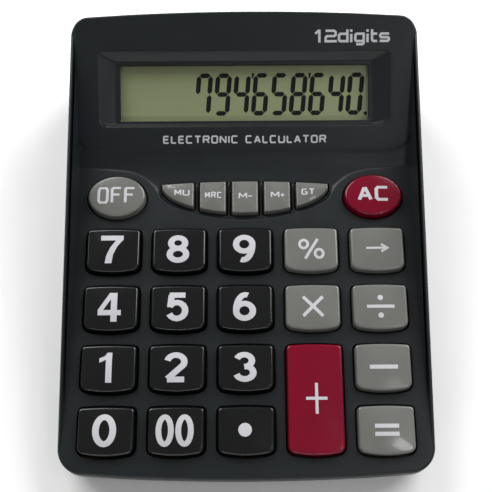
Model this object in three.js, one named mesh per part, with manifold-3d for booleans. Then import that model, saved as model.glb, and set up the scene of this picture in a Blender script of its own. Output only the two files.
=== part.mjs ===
// A twelve-digit desk calculator with a sloping keyboard deck and a steeper display head.
// Millimetres, +Z up, the user sits on the -Y side. The finished group is centred on its own
// base: x = 0 and y = 0 are the middle of its box, and z = 0 is the table under the feet.
import * as THREE from 'three';
import { mergeVertices } from 'three/addons/utils/BufferGeometryUtils.js';
import Module from 'manifold-3d';

const wasm = await Module();
wasm.setup();

// ---------------------------------------------------------------- driving dimensions
const GAP = 0.3; // clearance between pieces that touch

// Case
const WALL = 2; // shell thickness of both casings
const SIDE_MARGIN = 7.65; // outer key edge to the case side
const FRONT_MARGIN = 8.45; // lowest key edge to the front of the case
const HEAD_LENGTH = 65.3; // crease to the back of the head, along its slope
const DECK_SLOPE = 3; // degrees, keyboard deck against the table
const HEAD_SLOPE = 26; // degrees, display head against the table
const FRONT_BOW = 2.9; // how far the front edge bulges at its middle
const BACK_BOW = 2.1;
const FRONT_CORNER = 10; // plan radii of the case corners
const BACK_CORNER = 7.5;
const SKIRT = 6; // depth of the top case wall below the deck
const TRAY_TAPER = 2.5; // how far the bottom case narrows towards its floor
const TAPER_RISE = 8; // height over which it narrows
const LIP = 1; // thickness of the bottom case's locating lip
const LIP_RISE = 2.4; // above the joint between the casings
const LIP_ROOT = 3; // below that joint
const HOOK_WIDTH = 8; // front hooks on the lip
const HOOK_HEIGHT = 1;
const HOOK_REACH = 0.8;

// Keys
const KEY_WIDTH = 22.1;
const KEY_DEPTH = 19.2; // over both bowed edges
const KEY_GAP_X = 4.8;
const KEY_GAP_Y = 5.03;
const KEY_TOP_BOW = 0.5;
const KEY_LOW_BOW = 1.4;
const KEY_TOP_CORNER = 1.7;
const KEY_LOW_CORNER = 3;
const KEY_RISE = 3; // cap edge above the deck
const MEMORY_RISE = 1.6; // the same for the memory keys
const KEY_CROWN = 0.6; // extra height at the middle of a cap
const KEY_EDGE = 0.7; // rounded edge of a cap
const KEY_DRAFT = 0.3;
const KEY_CLEARANCE = 0.55; // cap to the opening in the deck, all round
const KEY_TRAVEL = 1.5;
const FLANGE = 1; // the rim that keeps a cap captive: width and thickness
const CAP_WALL = 1.6;
const ROUND_KEY_RX = 12.1; // the two oval keys
const ROUND_KEY_RY = 9.25;
const ROUND_KEY_SHIFT = 0.5; // their middles inside the outer columns' middles
const ROUND_KEY_HOLLOW = 0.6; // half sizes of the hollow under them, as shares of their radii
const FUNCTION_GAP = 4.8; // top key row to the oval keys
const CREASE_GAP = 4.4; // oval keys to the crease
const MEMORY_HALF = 35.5; // half width of the lens-shaped memory key group
const MEMORY_TOP_BOW = 1.4;
const MEMORY_DROP = 13.2; // depth of the group's lower bulge
const MEMORY_KEY = 11.3;
const MEMORY_GAP = 2.1;
const MEMORY_TIP = 5.8; // tips of the group above the middle of the oval keys
const RECESS = 0.8; // depth of the panel that the memory keys sit in
const RECESS_RIM = 2.2; // that panel's border round the memory keys
const TIP_CUT = 0.6; // blunted tips of the two end keys
const TIP_KEY_MIDDLE = 4; // wide side of an end key to the post that presses its dome
const PLUNGER = 1.5; // half width of the post that presses a dome

// Keyboard stack under the deck
const RUBBER = 0.8; // sheet of the rubber keypad
const DOME_R = 3.6;
const SMALL_DOME_R = 2.4;
const DOME_RISE = 3.6;
const DOME_TAPER = 0.62; // top radius of a dome as a share of its foot's
const BOARD = 1.2;
const BELOW_BOARD = 2.6; // room between board and floor at the front
const BOARD_MARGIN = 2.9; // board edge to the side wall
const BOARD_SETBACK = 5; // board edge to the crease
const SHEET_MARGIN = 1; // rubber edge inside the board's
const CHIP_R = 6;
const CHIP_RISE = 1.3;
const CAPACITOR_R = 2;
const CAPACITOR_LENGTH = 5.4;

// Display
const BEZEL_SIDE = 11.5; // case side to the bezel's outer edge
const BEZEL_LOW = 17.4; // crease to the bezel's lower edge
const BEZEL_HEIGHT = 31.1;
const BEZEL_SLOPE_SIDE = 6.5; // plan width of each sloping face
const BEZEL_SLOPE_LOW = 1.2;
const BEZEL_SLOPE_TOP = 3.7;
const BEZEL_DEPTH = 2;
const BEZEL_LAND = 1.2; // flat land between slope and window, below the window
const LAND_TOP = 1.9;
const LAND_SIDE = 2.2;
const LENS = 1.2; // clear window thickness
const LENS_LAP = 3; // how far the window laps behind the opening
const LCD_GLASS = 2.2;
const LCD_LAP = 1.8;
const REFLECTOR = 0.3;
const HOLDER_WALL = 1.5;
const FRAME_DEPTH = 1.2; // plastic behind the bezel's floor
const HOLDER_SINK = 0.2; // holder's rim below the glass face
const RIBBON_HALF = 40;
const RIBBON = 0.25;

// Battery bay
const CELL_DIAMETER = 14.5;
const CELL_LENGTH = 49.2; // without the nub
const NUB_LENGTH = 1.3;
const NUB_R = 2.7;
const CELL_SHOULDER = 0.8; // rounded ends of the cell's can
const SPRING_LENGTH = 5;
const SPRING_WIDE_R = 4.6;
const SPRING_NARROW_R = 2.6;
const SPRING_TURNS = 4;
const CONTACT = 0.4; // sheet metal
const BAY_WALL = 1.5;
const TONGUE = 1.5; // how far the cover's tongues reach under the rails
const TONGUE_RISE = 1;
const WIRE_R = 0.6;
const SPRING_WIRE_R = 0.4;
const CONTACT_HALF = 5; // half width of the plate contact
const COVER_SKIN = 2; // solid border round the cover's hollow inner face
const THUMB_GROOVES = { count: 5, pitch: 1.6, width: 0.7, half: 7, depth: 0.5, back: 5 };

// Fasteners and feet
const SCREW_HEAD_R = 2.5;
const SCREW_HEAD = 1.6;
const SCREW_R = 1.25;
const SCREW_LENGTH = 6.2;
const SCREW_SEAT = 2.7; // plastic under a screw head
const BOSS_R = 2.7;
const SCREW_WALL = 1.2; // plastic round a sunk screw head
const CORNER_SCREW = 10; // back screws to the case sides and back
const SCREW_INSIDE_TIP = 1.5; // middle screws inside the memory group's tips
const BOSS_BELOW_BOARD = 1.2; // front and middle bosses reach this far below the board
const BOARD_BOSS_R = 2.1;
const BOARD_SCREW_R = 0.8;
const BOARD_SCREW_HEAD_R = 1.9;
const BOARD_SCREW_HEAD = 1.2;
const FOOT_R = 5;
const FOOT = 1.5; // height of a foot below the floor
const FOOT_EDGE = { width: 1, height: 0.6 }; // chamfer round a foot's sole
const FOOT_SOCKET = 0.8; // how deep a foot sits in the floor
const FOOT_INSET = 3; // foot rim to the floor's edge at the sides
const FRONT_FOOT = 18; // front feet to the front of the case
const BACK_FOOT = 24;

// ---------------------------------------------------------------- derived sizes
const radians = THREE.MathUtils.degToRad;
const PITCH_X = KEY_WIDTH + KEY_GAP_X;
const PITCH_Y = KEY_DEPTH + KEY_GAP_Y;
const COLUMNS = 5;
const ROWS = 4;
const CUT = 1; // how far a cutting shape runs past the surface it opens
const HALF_WIDTH = ((COLUMNS - 1) / 2) * PITCH_X + KEY_WIDTH / 2 + SIDE_MARGIN;
const ROW_EDGE = ((ROWS - 1) / 2) * PITCH_Y + KEY_DEPTH / 2;
const OVAL_V = ROW_EDGE + FUNCTION_GAP + ROUND_KEY_RY;
const CREASE_V = OVAL_V + ROUND_KEY_RY + CREASE_GAP;
const FRONT_V = -(ROW_EDGE + FRONT_MARGIN);

// Heights in the deck frame, where the deck's outer face is 0
const FLANGE_TOP = -WALL - GAP;
const FLANGE_LOW = FLANGE_TOP - FLANGE;
const RUBBER_TOP = FLANGE_LOW - KEY_TRAVEL - GAP;
const RUBBER_LOW = RUBBER_TOP - RUBBER;
const BOARD_TOP = RUBBER_LOW - GAP;
const BOARD_LOW = BOARD_TOP - BOARD;
const DOME_TOP = RUBBER_TOP + DOME_RISE;
const PLUNGER_LOW = DOME_TOP + GAP;

const FLOOR_LOW = FOOT;
const FLOOR_TOP = FLOOR_LOW + WALL;
const FRONT_HEIGHT = FLOOR_TOP + BELOW_BOARD - BOARD_LOW;
const DECK_HEIGHT = FRONT_HEIGHT - FRONT_V * Math.sin(radians(DECK_SLOPE));

// The deck frame lies on the keyboard deck, and the head frame on the display head from the crease up.
const deckFrame = new THREE.Matrix4()
  .makeRotationX(radians(DECK_SLOPE))
  .setPosition(0, 0, DECK_HEIGHT);
const crease = new THREE.Vector3(0, CREASE_V, 0).applyMatrix4(deckFrame);
const headFrame = new THREE.Matrix4().makeRotationX(radians(HEAD_SLOPE)).setPosition(crease);
const frontY = new THREE.Vector3(0, FRONT_V, 0).applyMatrix4(deckFrame).y;
const backTop = new THREE.Vector3(0, HEAD_LENGTH, 0).applyMatrix4(headFrame);
const backY = backTop.y;
const CEILING = backTop.z + 10; // above everything

// ---------------------------------------------------------------- geometry helpers
function solid(geometry) {
  const plain = geometry.clone();
  plain.deleteAttribute('normal');
  plain.deleteAttribute('uv');
  const merged = mergeVertices(plain, 1e-4);
  return new wasm.Manifold(new wasm.Mesh({
    numProp: 3,
    vertProperties: merged.getAttribute('position').array,
    triVerts: new Uint32Array(merged.getIndex().array),
  }));
}

function geometryOf(manifold) {
  const mesh = manifold.getMesh();
  const geometry = new THREE.BufferGeometry();
  geometry.setAttribute('position', new THREE.BufferAttribute(mesh.vertProperties, mesh.numProp));
  geometry.setIndex(new THREE.BufferAttribute(mesh.triVerts, 1));
  geometry.computeVertexNormals();
  return geometry;
}

const inFrame = (geometry, frame) => geometry.clone().applyMatrix4(frame);
const union = (first, ...rest) => rest.reduce((sum, next) => sum.add(next), first);
const cut = (first, ...rest) => rest.reduce((sum, next) => sum.subtract(next), first);

// A box given by its lowest and highest corners.
function box(low, high) {
  const size = high.map((value, axis) => value - low[axis]);
  const middle = high.map((value, axis) => (value + low[axis]) / 2);
  return new THREE.BoxGeometry(...size).translate(...middle);
}

// An upright cylinder from one height to another.
function post(radius, low, high, x = 0, y = 0, sides = 16) {
  const geometry = new THREE.CylinderGeometry(radius, radius, high - low, sides);
  return geometry.rotateX(Math.PI / 2).translate(x, y, (low + high) / 2);
}

// An outline from corners [x, y, radius], anticlockwise, with each radius turned into an arc.
function filleted(corners, steps = 2) {
  const points = [];
  corners.forEach(([x, y, radius = 0], index) => {
    const here = new THREE.Vector2(x, y);
    if (!radius) {
      points.push(here);
      return;
    }
    const before = corners[(index + corners.length - 1) % corners.length];
    const after = corners[(index + 1) % corners.length];
    const inward = new THREE.Vector2(before[0] - x, before[1] - y).normalize();
    const outward = new THREE.Vector2(after[0] - x, after[1] - y).normalize();
    const half = Math.acos(THREE.MathUtils.clamp(inward.dot(outward), -1, 1)) / 2;
    const reach = radius / Math.tan(half);
    const centre = inward.clone().add(outward).normalize().multiplyScalar(radius / Math.sin(half)).add(here);
    const start = here.clone().addScaledVector(inward, reach).sub(centre);
    const turn = Math.PI - 2 * half;
    for (let step = 0; step <= steps; step += 1) {
      points.push(start.clone().rotateAround(new THREE.Vector2(), (turn * step) / steps).add(centre));
    }
  });
  return points;
}

// Points strictly between two ends of a shallow bow that rises by sagitta at its middle.
function bow(from, to, sagitta, steps) {
  const along = new THREE.Vector2(to[0] - from[0], to[1] - from[1]);
  const side = new THREE.Vector2(along.y, -along.x).normalize();
  return Array.from({ length: steps - 1 }, (_, index) => {
    const share = (index + 1) / steps;
    const lift = sagitta * (1 - (2 * share - 1) ** 2);
    return [from[0] + along.x * share + side.x * lift, from[1] + along.y * share + side.y * lift];
  });
}

// Moves each point of an anticlockwise outline outwards.
function grown(points, distance) {
  return points.map((point, index) => {
    const before = points[(index + points.length - 1) % points.length];
    const after = points[(index + 1) % points.length];
    const first = point.clone().sub(before).normalize();
    const second = after.clone().sub(point).normalize();
    const normal = new THREE.Vector2(first.y + second.y, -first.x - second.x).normalize();
    const stretch = 1 / Math.max(0.5, normal.dot(new THREE.Vector2(first.y, -first.x)));
    return point.clone().addScaledVector(normal, distance * stretch);
  });
}

const prism = (points, low, high) =>
  new THREE.ExtrudeGeometry(new THREE.Shape(points), { depth: high - low, bevelEnabled: false })
    .translate(0, 0, low);

// A closed skin over outlines of equal length, stacked as [points, height], ending in an apex or a flat cap.
function loft(rings, apex) {
  const count = rings[0][0].length;
  const vertices = rings.flatMap(([points, height]) => points.map((p) => [p.x, p.y, height]));
  const faces = [];
  for (let ring = 0; ring + 1 < rings.length; ring += 1) {
    for (let index = 0; index < count; index += 1) {
      const next = (index + 1) % count;
      const [a, b] = [ring * count + index, ring * count + next];
      faces.push([a, b, b + count], [a, b + count, a + count]);
    }
  }
  const [lowest, highest] = [rings[0][0], rings[rings.length - 1][0]];
  THREE.ShapeUtils.triangulateShape(lowest, []).forEach(([a, b, c]) => faces.push([a, c, b]));
  const last = (rings.length - 1) * count;
  if (apex) {
    vertices.push(apex);
    highest.forEach((_, i) => faces.push([last + i, last + ((i + 1) % count), vertices.length - 1]));
  } else {
    THREE.ShapeUtils.triangulateShape(highest, [])
      .forEach(([a, b, c]) => faces.push([last + a, last + b, last + c]));
  }
  const geometry = new THREE.BufferGeometry();
  geometry.setAttribute('position', new THREE.Float32BufferAttribute(vertices.flat(), 3));
  geometry.setIndex(faces.flat());
  return geometry;
}

// A side profile of [y, z] points, extruded across the case.
function crosswise(profile, halfWidth) {
  const across = new THREE.Matrix4().makeBasis(
    new THREE.Vector3(0, 1, 0), new THREE.Vector3(0, 0, 1), new THREE.Vector3(1, 0, 0),
  );
  const shape = new THREE.Shape(profile.map(([y, z]) => new THREE.Vector2(y, z)));
  return new THREE.ExtrudeGeometry(shape, { depth: 2 * halfWidth, bevelEnabled: false })
    .translate(0, 0, -halfWidth)
    .applyMatrix4(across);
}

// A round wire or spring along a curve.
function wire(curve, radius, steps, sides) {
  const section = new THREE.Shape();
  for (let side = 0; side < sides; side += 1) {
    const angle = (2 * Math.PI * side) / sides;
    const spot = [radius * Math.cos(angle), radius * Math.sin(angle)];
    if (side) section.lineTo(...spot);
    else section.moveTo(...spot);
  }
  return new THREE.ExtrudeGeometry(section, { steps, bevelEnabled: false, extrudePath: curve });
}

// ---------------------------------------------------------------- materials
function material(name, color, roughness, metalness = 0, extra = {}) {
  return new THREE.MeshStandardMaterial({ name, color, roughness, metalness, ...extra });
}
const finishes = {
  case: material('case', 0x272a2c, 0.5),
  digitKey: material('digit_key', 0x17191a, 0.15),
  greyKey: material('grey_key', 0x7e7f78, 0.25),
  redKey: material('red_key', 0x8a0d33, 0.2),
  window: material('window', 0xdfe6df, 0.05, 0, { transparent: true, opacity: 0.3 }),
  lcd: material('lcd', 0x7e8663, 0.35),
  holder: material('holder', 0xd8d6cc, 0.5),
  rubber: material('rubber', 0x8b8d8c, 0.8),
  board: material('board', 0xb58a4a, 0.5),
  epoxy: material('epoxy', 0x0d0d0e, 0.3),
  metal: material('metal', 0xb9bcbe, 0.3, 1),
  cell: material('cell', 0x2c4f86, 0.35, 0.2),
  foot: material('foot', 0x101112, 0.85),
  ribbon: material('ribbon', 0xa8a49a, 0.5),
  redWire: material('red_wire', 0xa81c1c, 0.45),
  blackWire: material('black_wire', 0x141414, 0.45),
};

const model = new THREE.Group();
const deck = new THREE.Group();
deck.applyMatrix4(deckFrame);
const head = new THREE.Group();
head.applyMatrix4(headFrame);
model.add(deck, head);

function add(group, name, geometry, finish, x = 0, y = 0, z = 0) {
  const mesh = new THREE.Mesh(geometry, finish);
  mesh.name = name;
  mesh.position.set(x, y, z);
  group.add(mesh);
  return mesh;
}

// ---------------------------------------------------------------- keys
// Every key has its name, finish, middle (u, v) on the deck, outline about that middle, height, captive
// rim, radius of the dome under it, and the half sizes of the hollow in its underside.
function padOutline(depth) {
  const [x, y] = [KEY_WIDTH / 2, depth / 2];
  const [topY, lowY] = [y - KEY_TOP_BOW, -y + KEY_LOW_BOW];
  const low = bow([-x, lowY], [x, lowY], KEY_LOW_BOW, 4);
  const top = bow([x, topY], [-x, topY], KEY_TOP_BOW, 2);
  return filleted([
    [-x, lowY, KEY_LOW_CORNER], ...low, [x, lowY, KEY_LOW_CORNER],
    [x, topY, KEY_TOP_CORNER], ...top, [-x, topY, KEY_TOP_CORNER],
  ]);
}

function ovalOutline(sides = 20) {
  return Array.from({ length: sides }, (_, index) => {
    const angle = (2 * Math.PI * index) / sides;
    return new THREE.Vector2(ROUND_KEY_RX * Math.cos(angle), ROUND_KEY_RY * Math.sin(angle));
  });
}

// The memory keys share one lens: a bowed top edge over half an ellipse.
const lensTop = (u) => MEMORY_TOP_BOW * (1 - (u / MEMORY_HALF) ** 2);
const lensLow = (u) => -MEMORY_DROP * Math.sqrt(Math.max(0, 1 - (u / MEMORY_HALF) ** 2));

function lensSlice(from, to, centre) {
  const steps = 3;
  const at = (index) => from + ((to - from) * index) / steps;
  const low = Array.from({ length: steps + 1 }, (_, i) => [at(i), lensLow(at(i))]);
  const top = Array.from({ length: steps + 1 }, (_, i) => [at(steps - i), lensTop(at(steps - i))]);
  return [...low, ...top].map(([x, y]) => new THREE.Vector2(x - centre[0], y - centre[1]));
}

function memoryKeys() {
  const pitch = MEMORY_KEY + MEMORY_GAP;
  const v = OVAL_V + MEMORY_TIP;
  const tip = MEMORY_HALF - TIP_CUT;
  return ['mu', 'mrc', 'm_minus', 'm_plus', 'gt'].map((name, index) => {
    const from = index === 0 ? -tip : (index - 2) * pitch - MEMORY_KEY / 2;
    const to = index === 4 ? tip : (index - 2) * pitch + MEMORY_KEY / 2;
    const wide = [from, to].sort((a, b) => Math.abs(a) - Math.abs(b))[0];
    const middle = index === 0 || index === 4 ? wide + Math.sign(wide) * TIP_KEY_MIDDLE : (from + to) / 2;
    const centre = [middle, (lensTop(middle) + lensLow(middle)) / 2];
    return {
      name: `key_${name}`,
      finish: finishes.greyKey,
      u: centre[0],
      v: v + centre[1],
      outline: lensSlice(from, to, centre),
      rise: MEMORY_RISE,
      flange: (MEMORY_GAP - GAP) / 2,
      dome: SMALL_DOME_R,
      cavity: [SMALL_DOME_R + KEY_CLEARANCE, SMALL_DOME_R + KEY_CLEARANCE],
    };
  });
}

function gridKeys() {
  const rows = [
    ['7', '8', '9', 'percent', 'back'],
    ['4', '5', '6', 'times', 'divide'],
    ['1', '2', '3', null, 'minus'],
    ['0', '00', 'point', null, 'equals'],
  ];
  const columnU = (column) => (column - (COLUMNS - 1) / 2) * PITCH_X;
  const rowV = (row) => ((ROWS - 1) / 2 - row) * PITCH_Y;
  const cavity = (depth) => [KEY_WIDTH / 2 - CAP_WALL, depth / 2 - CAP_WALL - KEY_LOW_BOW];
  const keys = rows.flatMap((names, row) => names.map((name, column) => name && {
    name: `key_${name}`,
    finish: column < 3 ? finishes.digitKey : finishes.greyKey,
    u: columnU(column),
    v: rowV(row),
    outline: padOutline(KEY_DEPTH),
    rise: KEY_RISE,
    flange: FLANGE,
    dome: DOME_R,
    cavity: cavity(KEY_DEPTH),
  })).filter(Boolean);
  const tall = KEY_DEPTH + PITCH_Y;
  keys.push({
    name: 'key_plus',
    finish: finishes.redKey,
    u: columnU(3),
    v: (rowV(2) + rowV(3)) / 2,
    outline: padOutline(tall),
    rise: KEY_RISE,
    flange: FLANGE,
    dome: DOME_R,
    cavity: cavity(tall),
  });
  return keys;
}

function ovalKeys() {
  const u = ((COLUMNS - 1) / 2) * PITCH_X - ROUND_KEY_SHIFT;
  return [['off', -u, finishes.greyKey], ['ac', u, finishes.redKey]].map(([name, at, finish]) => ({
    name: `key_${name}`,
    finish,
    u: at,
    v: OVAL_V,
    outline: ovalOutline(),
    rise: KEY_RISE,
    flange: FLANGE,
    dome: DOME_R,
    cavity: [ROUND_KEY_RX * ROUND_KEY_HOLLOW, ROUND_KEY_RY * ROUND_KEY_HOLLOW],
  }));
}

const keys = [...gridKeys(), ...ovalKeys(), ...memoryKeys()];

function keyCap({ outline, cavity, rise, flange }) {
  const cap = loft([
    [grown(outline, flange), FLANGE_LOW],
    [grown(outline, flange), FLANGE_TOP],
    [outline, FLANGE_TOP],
    [grown(outline, -KEY_DRAFT), rise - KEY_EDGE],
    [grown(outline, -KEY_DRAFT - KEY_EDGE), rise],
  ], [0, 0, rise + KEY_CROWN]);
  const [x, y] = cavity;
  const roof = rise - KEY_EDGE - CAP_WALL;
  return geometryOf(union(
    cut(solid(cap), solid(box([-x, -y, FLANGE_LOW - CUT], [x, y, roof]))),
    solid(box([-PLUNGER, -PLUNGER, PLUNGER_LOW], [PLUNGER, PLUNGER, roof + CAP_WALL / 2])),
  ));
}

keys.forEach((key) => add(deck, key.name, keyCap(key), key.finish, key.u, key.v));

// ---------------------------------------------------------------- case outline and screws
function caseOutline(inset) {
  const x = HALF_WIDTH - inset;
  const [front, back] = [frontY + inset + FRONT_BOW, backY - inset - BACK_BOW];
  return filleted([
    [-x, front, FRONT_CORNER - inset],
    ...bow([-x, front], [x, front], FRONT_BOW, 6).slice(1, -1),
    [x, front, FRONT_CORNER - inset],
    [x, back, BACK_CORNER - inset],
    ...bow([x, back], [-x, back], BACK_BOW, 6).slice(1, -1),
    [-x, back, BACK_CORNER - inset],
  ], 3);
}

// Height of the deck, of the joint between the casings and of the head at a given y, less a depth.
const slopeAt = (y, base, baseY, degrees, depth) =>
  base + (y - baseY) * Math.tan(radians(degrees)) - depth / Math.cos(radians(degrees));
const deckAt = (y, depth = 0) => slopeAt(y, DECK_HEIGHT, 0, DECK_SLOPE, depth);
const headAt = (y, depth = 0) => slopeAt(y, crease.z, crease.y, HEAD_SLOPE, depth);
const FAR = 2 * (backY - frontY);

// The space under the deck and head faces, less a depth, and above a floor profile.
function underFaces(depth, floorDepth) {
  const meet = (deckAt(0, depth) - headAt(0, depth))
    / (Math.tan(radians(HEAD_SLOPE)) - Math.tan(radians(DECK_SLOPE)));
  return crosswise([
    [-FAR, deckAt(-FAR, floorDepth)], [FAR, deckAt(FAR, floorDepth)],
    [FAR, headAt(FAR, depth)], [meet, deckAt(meet, depth)], [-FAR, deckAt(-FAR, depth)],
  ], FAR);
}

const POST_R = SCREW_HEAD_R + GAP + SCREW_WALL;

// Each case screw comes up through the bottom case into a boss of the top case; they meet at split.
const middleScrewY = ROW_EDGE + FUNCTION_GAP + ROUND_KEY_RY / 3;
const backScrewY = backY - CORNER_SCREW;
const backSplit = deckAt(backScrewY - POST_R, SKIRT) - GAP / 2; // clear of the skirt all round a post
const underBoard = (y) => deckAt(y, BOSS_BELOW_BOARD - BOARD_LOW);
const caseScrews = [
  { name: 'front', x: 1.5 * PITCH_X, y: 0, split: underBoard(0) },
  { name: 'middle', x: MEMORY_HALF - SCREW_INSIDE_TIP, y: middleScrewY, split: underBoard(middleScrewY) },
  { name: 'back', x: HALF_WIDTH - CORNER_SCREW, y: backScrewY, split: backSplit },
];
const bothSides = (list) => list.flatMap((item) => [
  { ...item, side: 'left', x: -item.x }, { ...item, side: 'right', x: item.x },
]);

const boardScrews = [
  { name: 'back_left', u: -1.5 * PITCH_X, v: PITCH_Y },
  { name: 'back_right', u: 1.5 * PITCH_X, v: PITCH_Y },
  { name: 'front_left', u: -PITCH_X / 2, v: 0 },
  { name: 'front_right', u: PITCH_X / 2, v: 0 },
];

// ---------------------------------------------------------------- display sizes, in the head frame
const bezel = {
  x: HALF_WIDTH - BEZEL_SIDE,
  low: BEZEL_LOW,
  high: BEZEL_LOW + BEZEL_HEIGHT,
};
const land = {
  x: bezel.x - BEZEL_SLOPE_SIDE,
  low: bezel.low + BEZEL_SLOPE_LOW,
  high: bezel.high - BEZEL_SLOPE_TOP,
};
const windowHole = { x: land.x - LAND_SIDE, low: land.low + BEZEL_LAND, high: land.high - LAND_TOP };
const LENS_TOP = -BEZEL_DEPTH - FRAME_DEPTH - GAP;
const LENS_LOW = LENS_TOP - LENS;
const LCD_TOP = LENS_LOW - GAP;
const LCD_LOW = LCD_TOP - LCD_GLASS;
const REFLECTOR_LOW = LCD_LOW - GAP - REFLECTOR;
const HOLDER_LOW = REFLECTOR_LOW - GAP - HOLDER_WALL;
const lapped = (hole, lap) => ({ x: hole.x + lap, low: hole.low - lap, high: hole.high + lap });
const plate = (size, low, high) => box([-size.x, size.low, low], [size.x, size.high, high]);
const corners = (size) => [
  [-size.x, size.low], [size.x, size.low], [size.x, size.high], [-size.x, size.high],
].map(([x, y]) => new THREE.Vector2(x, y));

// ---------------------------------------------------------------- front hooks
// A stretch of a band that follows the front edge, between two insets and two depths below the deck.
function frontBand(x, halfWidth, insets, depths) {
  const ring = cut(
    solid(prism(caseOutline(insets[0]), 0, CEILING)),
    solid(prism(caseOutline(insets[1]), -CUT, CEILING + CUT)),
  );
  const slab = crosswise([
    [-FAR, deckAt(-FAR, depths[1])], [0, deckAt(0, depths[1])],
    [0, deckAt(0, depths[0])], [-FAR, deckAt(-FAR, depths[0])],
  ], FAR);
  return ring.intersect(solid(slab))
    .intersect(solid(box([x - halfWidth, -FAR, 0], [x + halfWidth, frontY + FRONT_CORNER, CEILING])));
}
const hooks = [-PITCH_X, PITCH_X].map((x) => {
  const depth = SKIRT - LIP_RISE;
  const [outer, inner] = [WALL + GAP - HOOK_REACH, WALL + GAP + LIP];
  return {
    tab: frontBand(x, HOOK_WIDTH / 2, [outer, inner], [depth, depth + HOOK_HEIGHT]),
    slot: frontBand(x, HOOK_WIDTH / 2 + GAP, [outer - GAP, inner],
      [depth - GAP, depth + HOOK_HEIGHT + GAP]),
  };
});

// ---------------------------------------------------------------- top case
function topCase() {
  const outer = solid(prism(caseOutline(0), 0, CEILING))
    .intersect(solid(underFaces(0, SKIRT)));
  const hollow = solid(prism(caseOutline(WALL), -CUT, CEILING))
    .intersect(solid(underFaces(WALL, FAR)));
  const frame = lapped(bezel, WALL);
  const additions = [
    solid(inFrame(plate(frame, -BEZEL_DEPTH - FRAME_DEPTH, -WALL / 2), headFrame)),
    ...bothSides(caseScrews).map(({ x, y, split }) =>
      solid(post(BOSS_R, split + GAP / 2, CEILING, x, y)).intersect(outer)),
    ...boardScrews.map(({ u, v }) =>
      solid(inFrame(post(BOARD_BOSS_R, BOARD_TOP + GAP, -WALL / 2, u, v, 8), deckFrame))),
  ];
  const openings = keys.map((key) => solid(inFrame(
    prism(grown(key.outline, KEY_CLEARANCE), -SKIRT, KEY_RISE).translate(key.u, key.v, 0),
    deckFrame,
  )));
  const tips = MEMORY_HALF + RECESS_RIM;
  const lens = Array.from({ length: 17 }, (_, i) => -tips + (2 * tips * i) / 16).map((u) =>
    new THREE.Vector2(u, -(MEMORY_DROP + RECESS_RIM) * Math.sqrt(Math.max(0, 1 - (u / tips) ** 2))));
  lens.push(new THREE.Vector2(0, MEMORY_TOP_BOW + RECESS_RIM));
  const recess = prism(lens, -RECESS, CUT).translate(0, OVAL_V + MEMORY_TIP, 0);
  const slopes = loft([[corners(land), -BEZEL_DEPTH], [corners(bezel), 0], [corners(bezel), CUT]]);
  const pits = [
    solid(inFrame(slopes, headFrame)),
    solid(inFrame(plate(windowHole, -BEZEL_DEPTH - FRAME_DEPTH - CUT, 0), headFrame)),
    solid(inFrame(recess, deckFrame)),
    ...hooks.map(({ slot }) => slot),
    ...bothSides(caseScrews).map(({ x, y, split }) =>
      solid(post(SCREW_R + GAP, split - CUT, split + SCREW_LENGTH - SCREW_SEAT + GAP, x, y, 8))),
    ...boardScrews.map(({ u, v }) =>
      solid(inFrame(post(BOARD_SCREW_R + GAP, BOARD_LOW, -WALL - GAP, u, v, 8), deckFrame))),
  ];
  return geometryOf(cut(union(cut(outer, hollow), ...additions), ...openings, ...pits));
}
add(model, 'top_case', topCase(), finishes.case);

// ---------------------------------------------------------------- battery bay sizes
const COVER_TOP = FLOOR_TOP + GAP + TONGUE_RISE; // top of the cover's tongues
const RAIL_LOW = COVER_TOP + GAP;
const bay = {
  x: (CELL_LENGTH + NUB_LENGTH + SPRING_LENGTH + CONTACT + 4 * GAP) / 2,
  front: backY - BACK_BOW - WALL - CELL_DIAMETER - 4 * GAP - BAY_WALL,
  back: backY - BACK_BOW - WALL - BAY_WALL,
  top: RAIL_LOW + CELL_DIAMETER + 2 * GAP,
};
const cellY = (bay.front + bay.back) / 2;
const cellZ = RAIL_LOW + GAP + CELL_DIAMETER / 2;
const coverX = bay.x;
const tongueX = coverX + TONGUE;

// ---------------------------------------------------------------- bottom case
const footX = HALF_WIDTH - TRAY_TAPER - WALL - FOOT_R - FOOT_INSET;
const feet = [
  { name: 'front', x: footX, y: frontY + FRONT_FOOT },
  { name: 'back', x: footX, y: backY - BACK_FOOT },
];

// Everything under the joint between the casings, lowered by a depth below the deck face.
const underJoint = (depth) => solid(crosswise([
  [-FAR, -FAR], [FAR, -FAR], [FAR, deckAt(FAR, depth)], [-FAR, deckAt(-FAR, depth)],
], FAR));

function trayShell() {
  const tub = (inset, low) => {
    const rim = caseOutline(inset);
    return solid(loft([[grown(rim, -TRAY_TAPER), low], [rim, low + TAPER_RISE], [rim, CEILING]]));
  };
  const walls = cut(tub(0, FLOOR_LOW).intersect(underJoint(SKIRT + GAP)), tub(WALL, FLOOR_TOP));
  const lip = cut(
    solid(prism(caseOutline(WALL + GAP), 0, CEILING)).intersect(underJoint(SKIRT - LIP_RISE)),
    solid(prism(caseOutline(WALL + GAP + LIP), -CUT, CEILING)),
    underJoint(SKIRT + LIP_ROOT),
  );
  return union(walls, lip);
}

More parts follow.
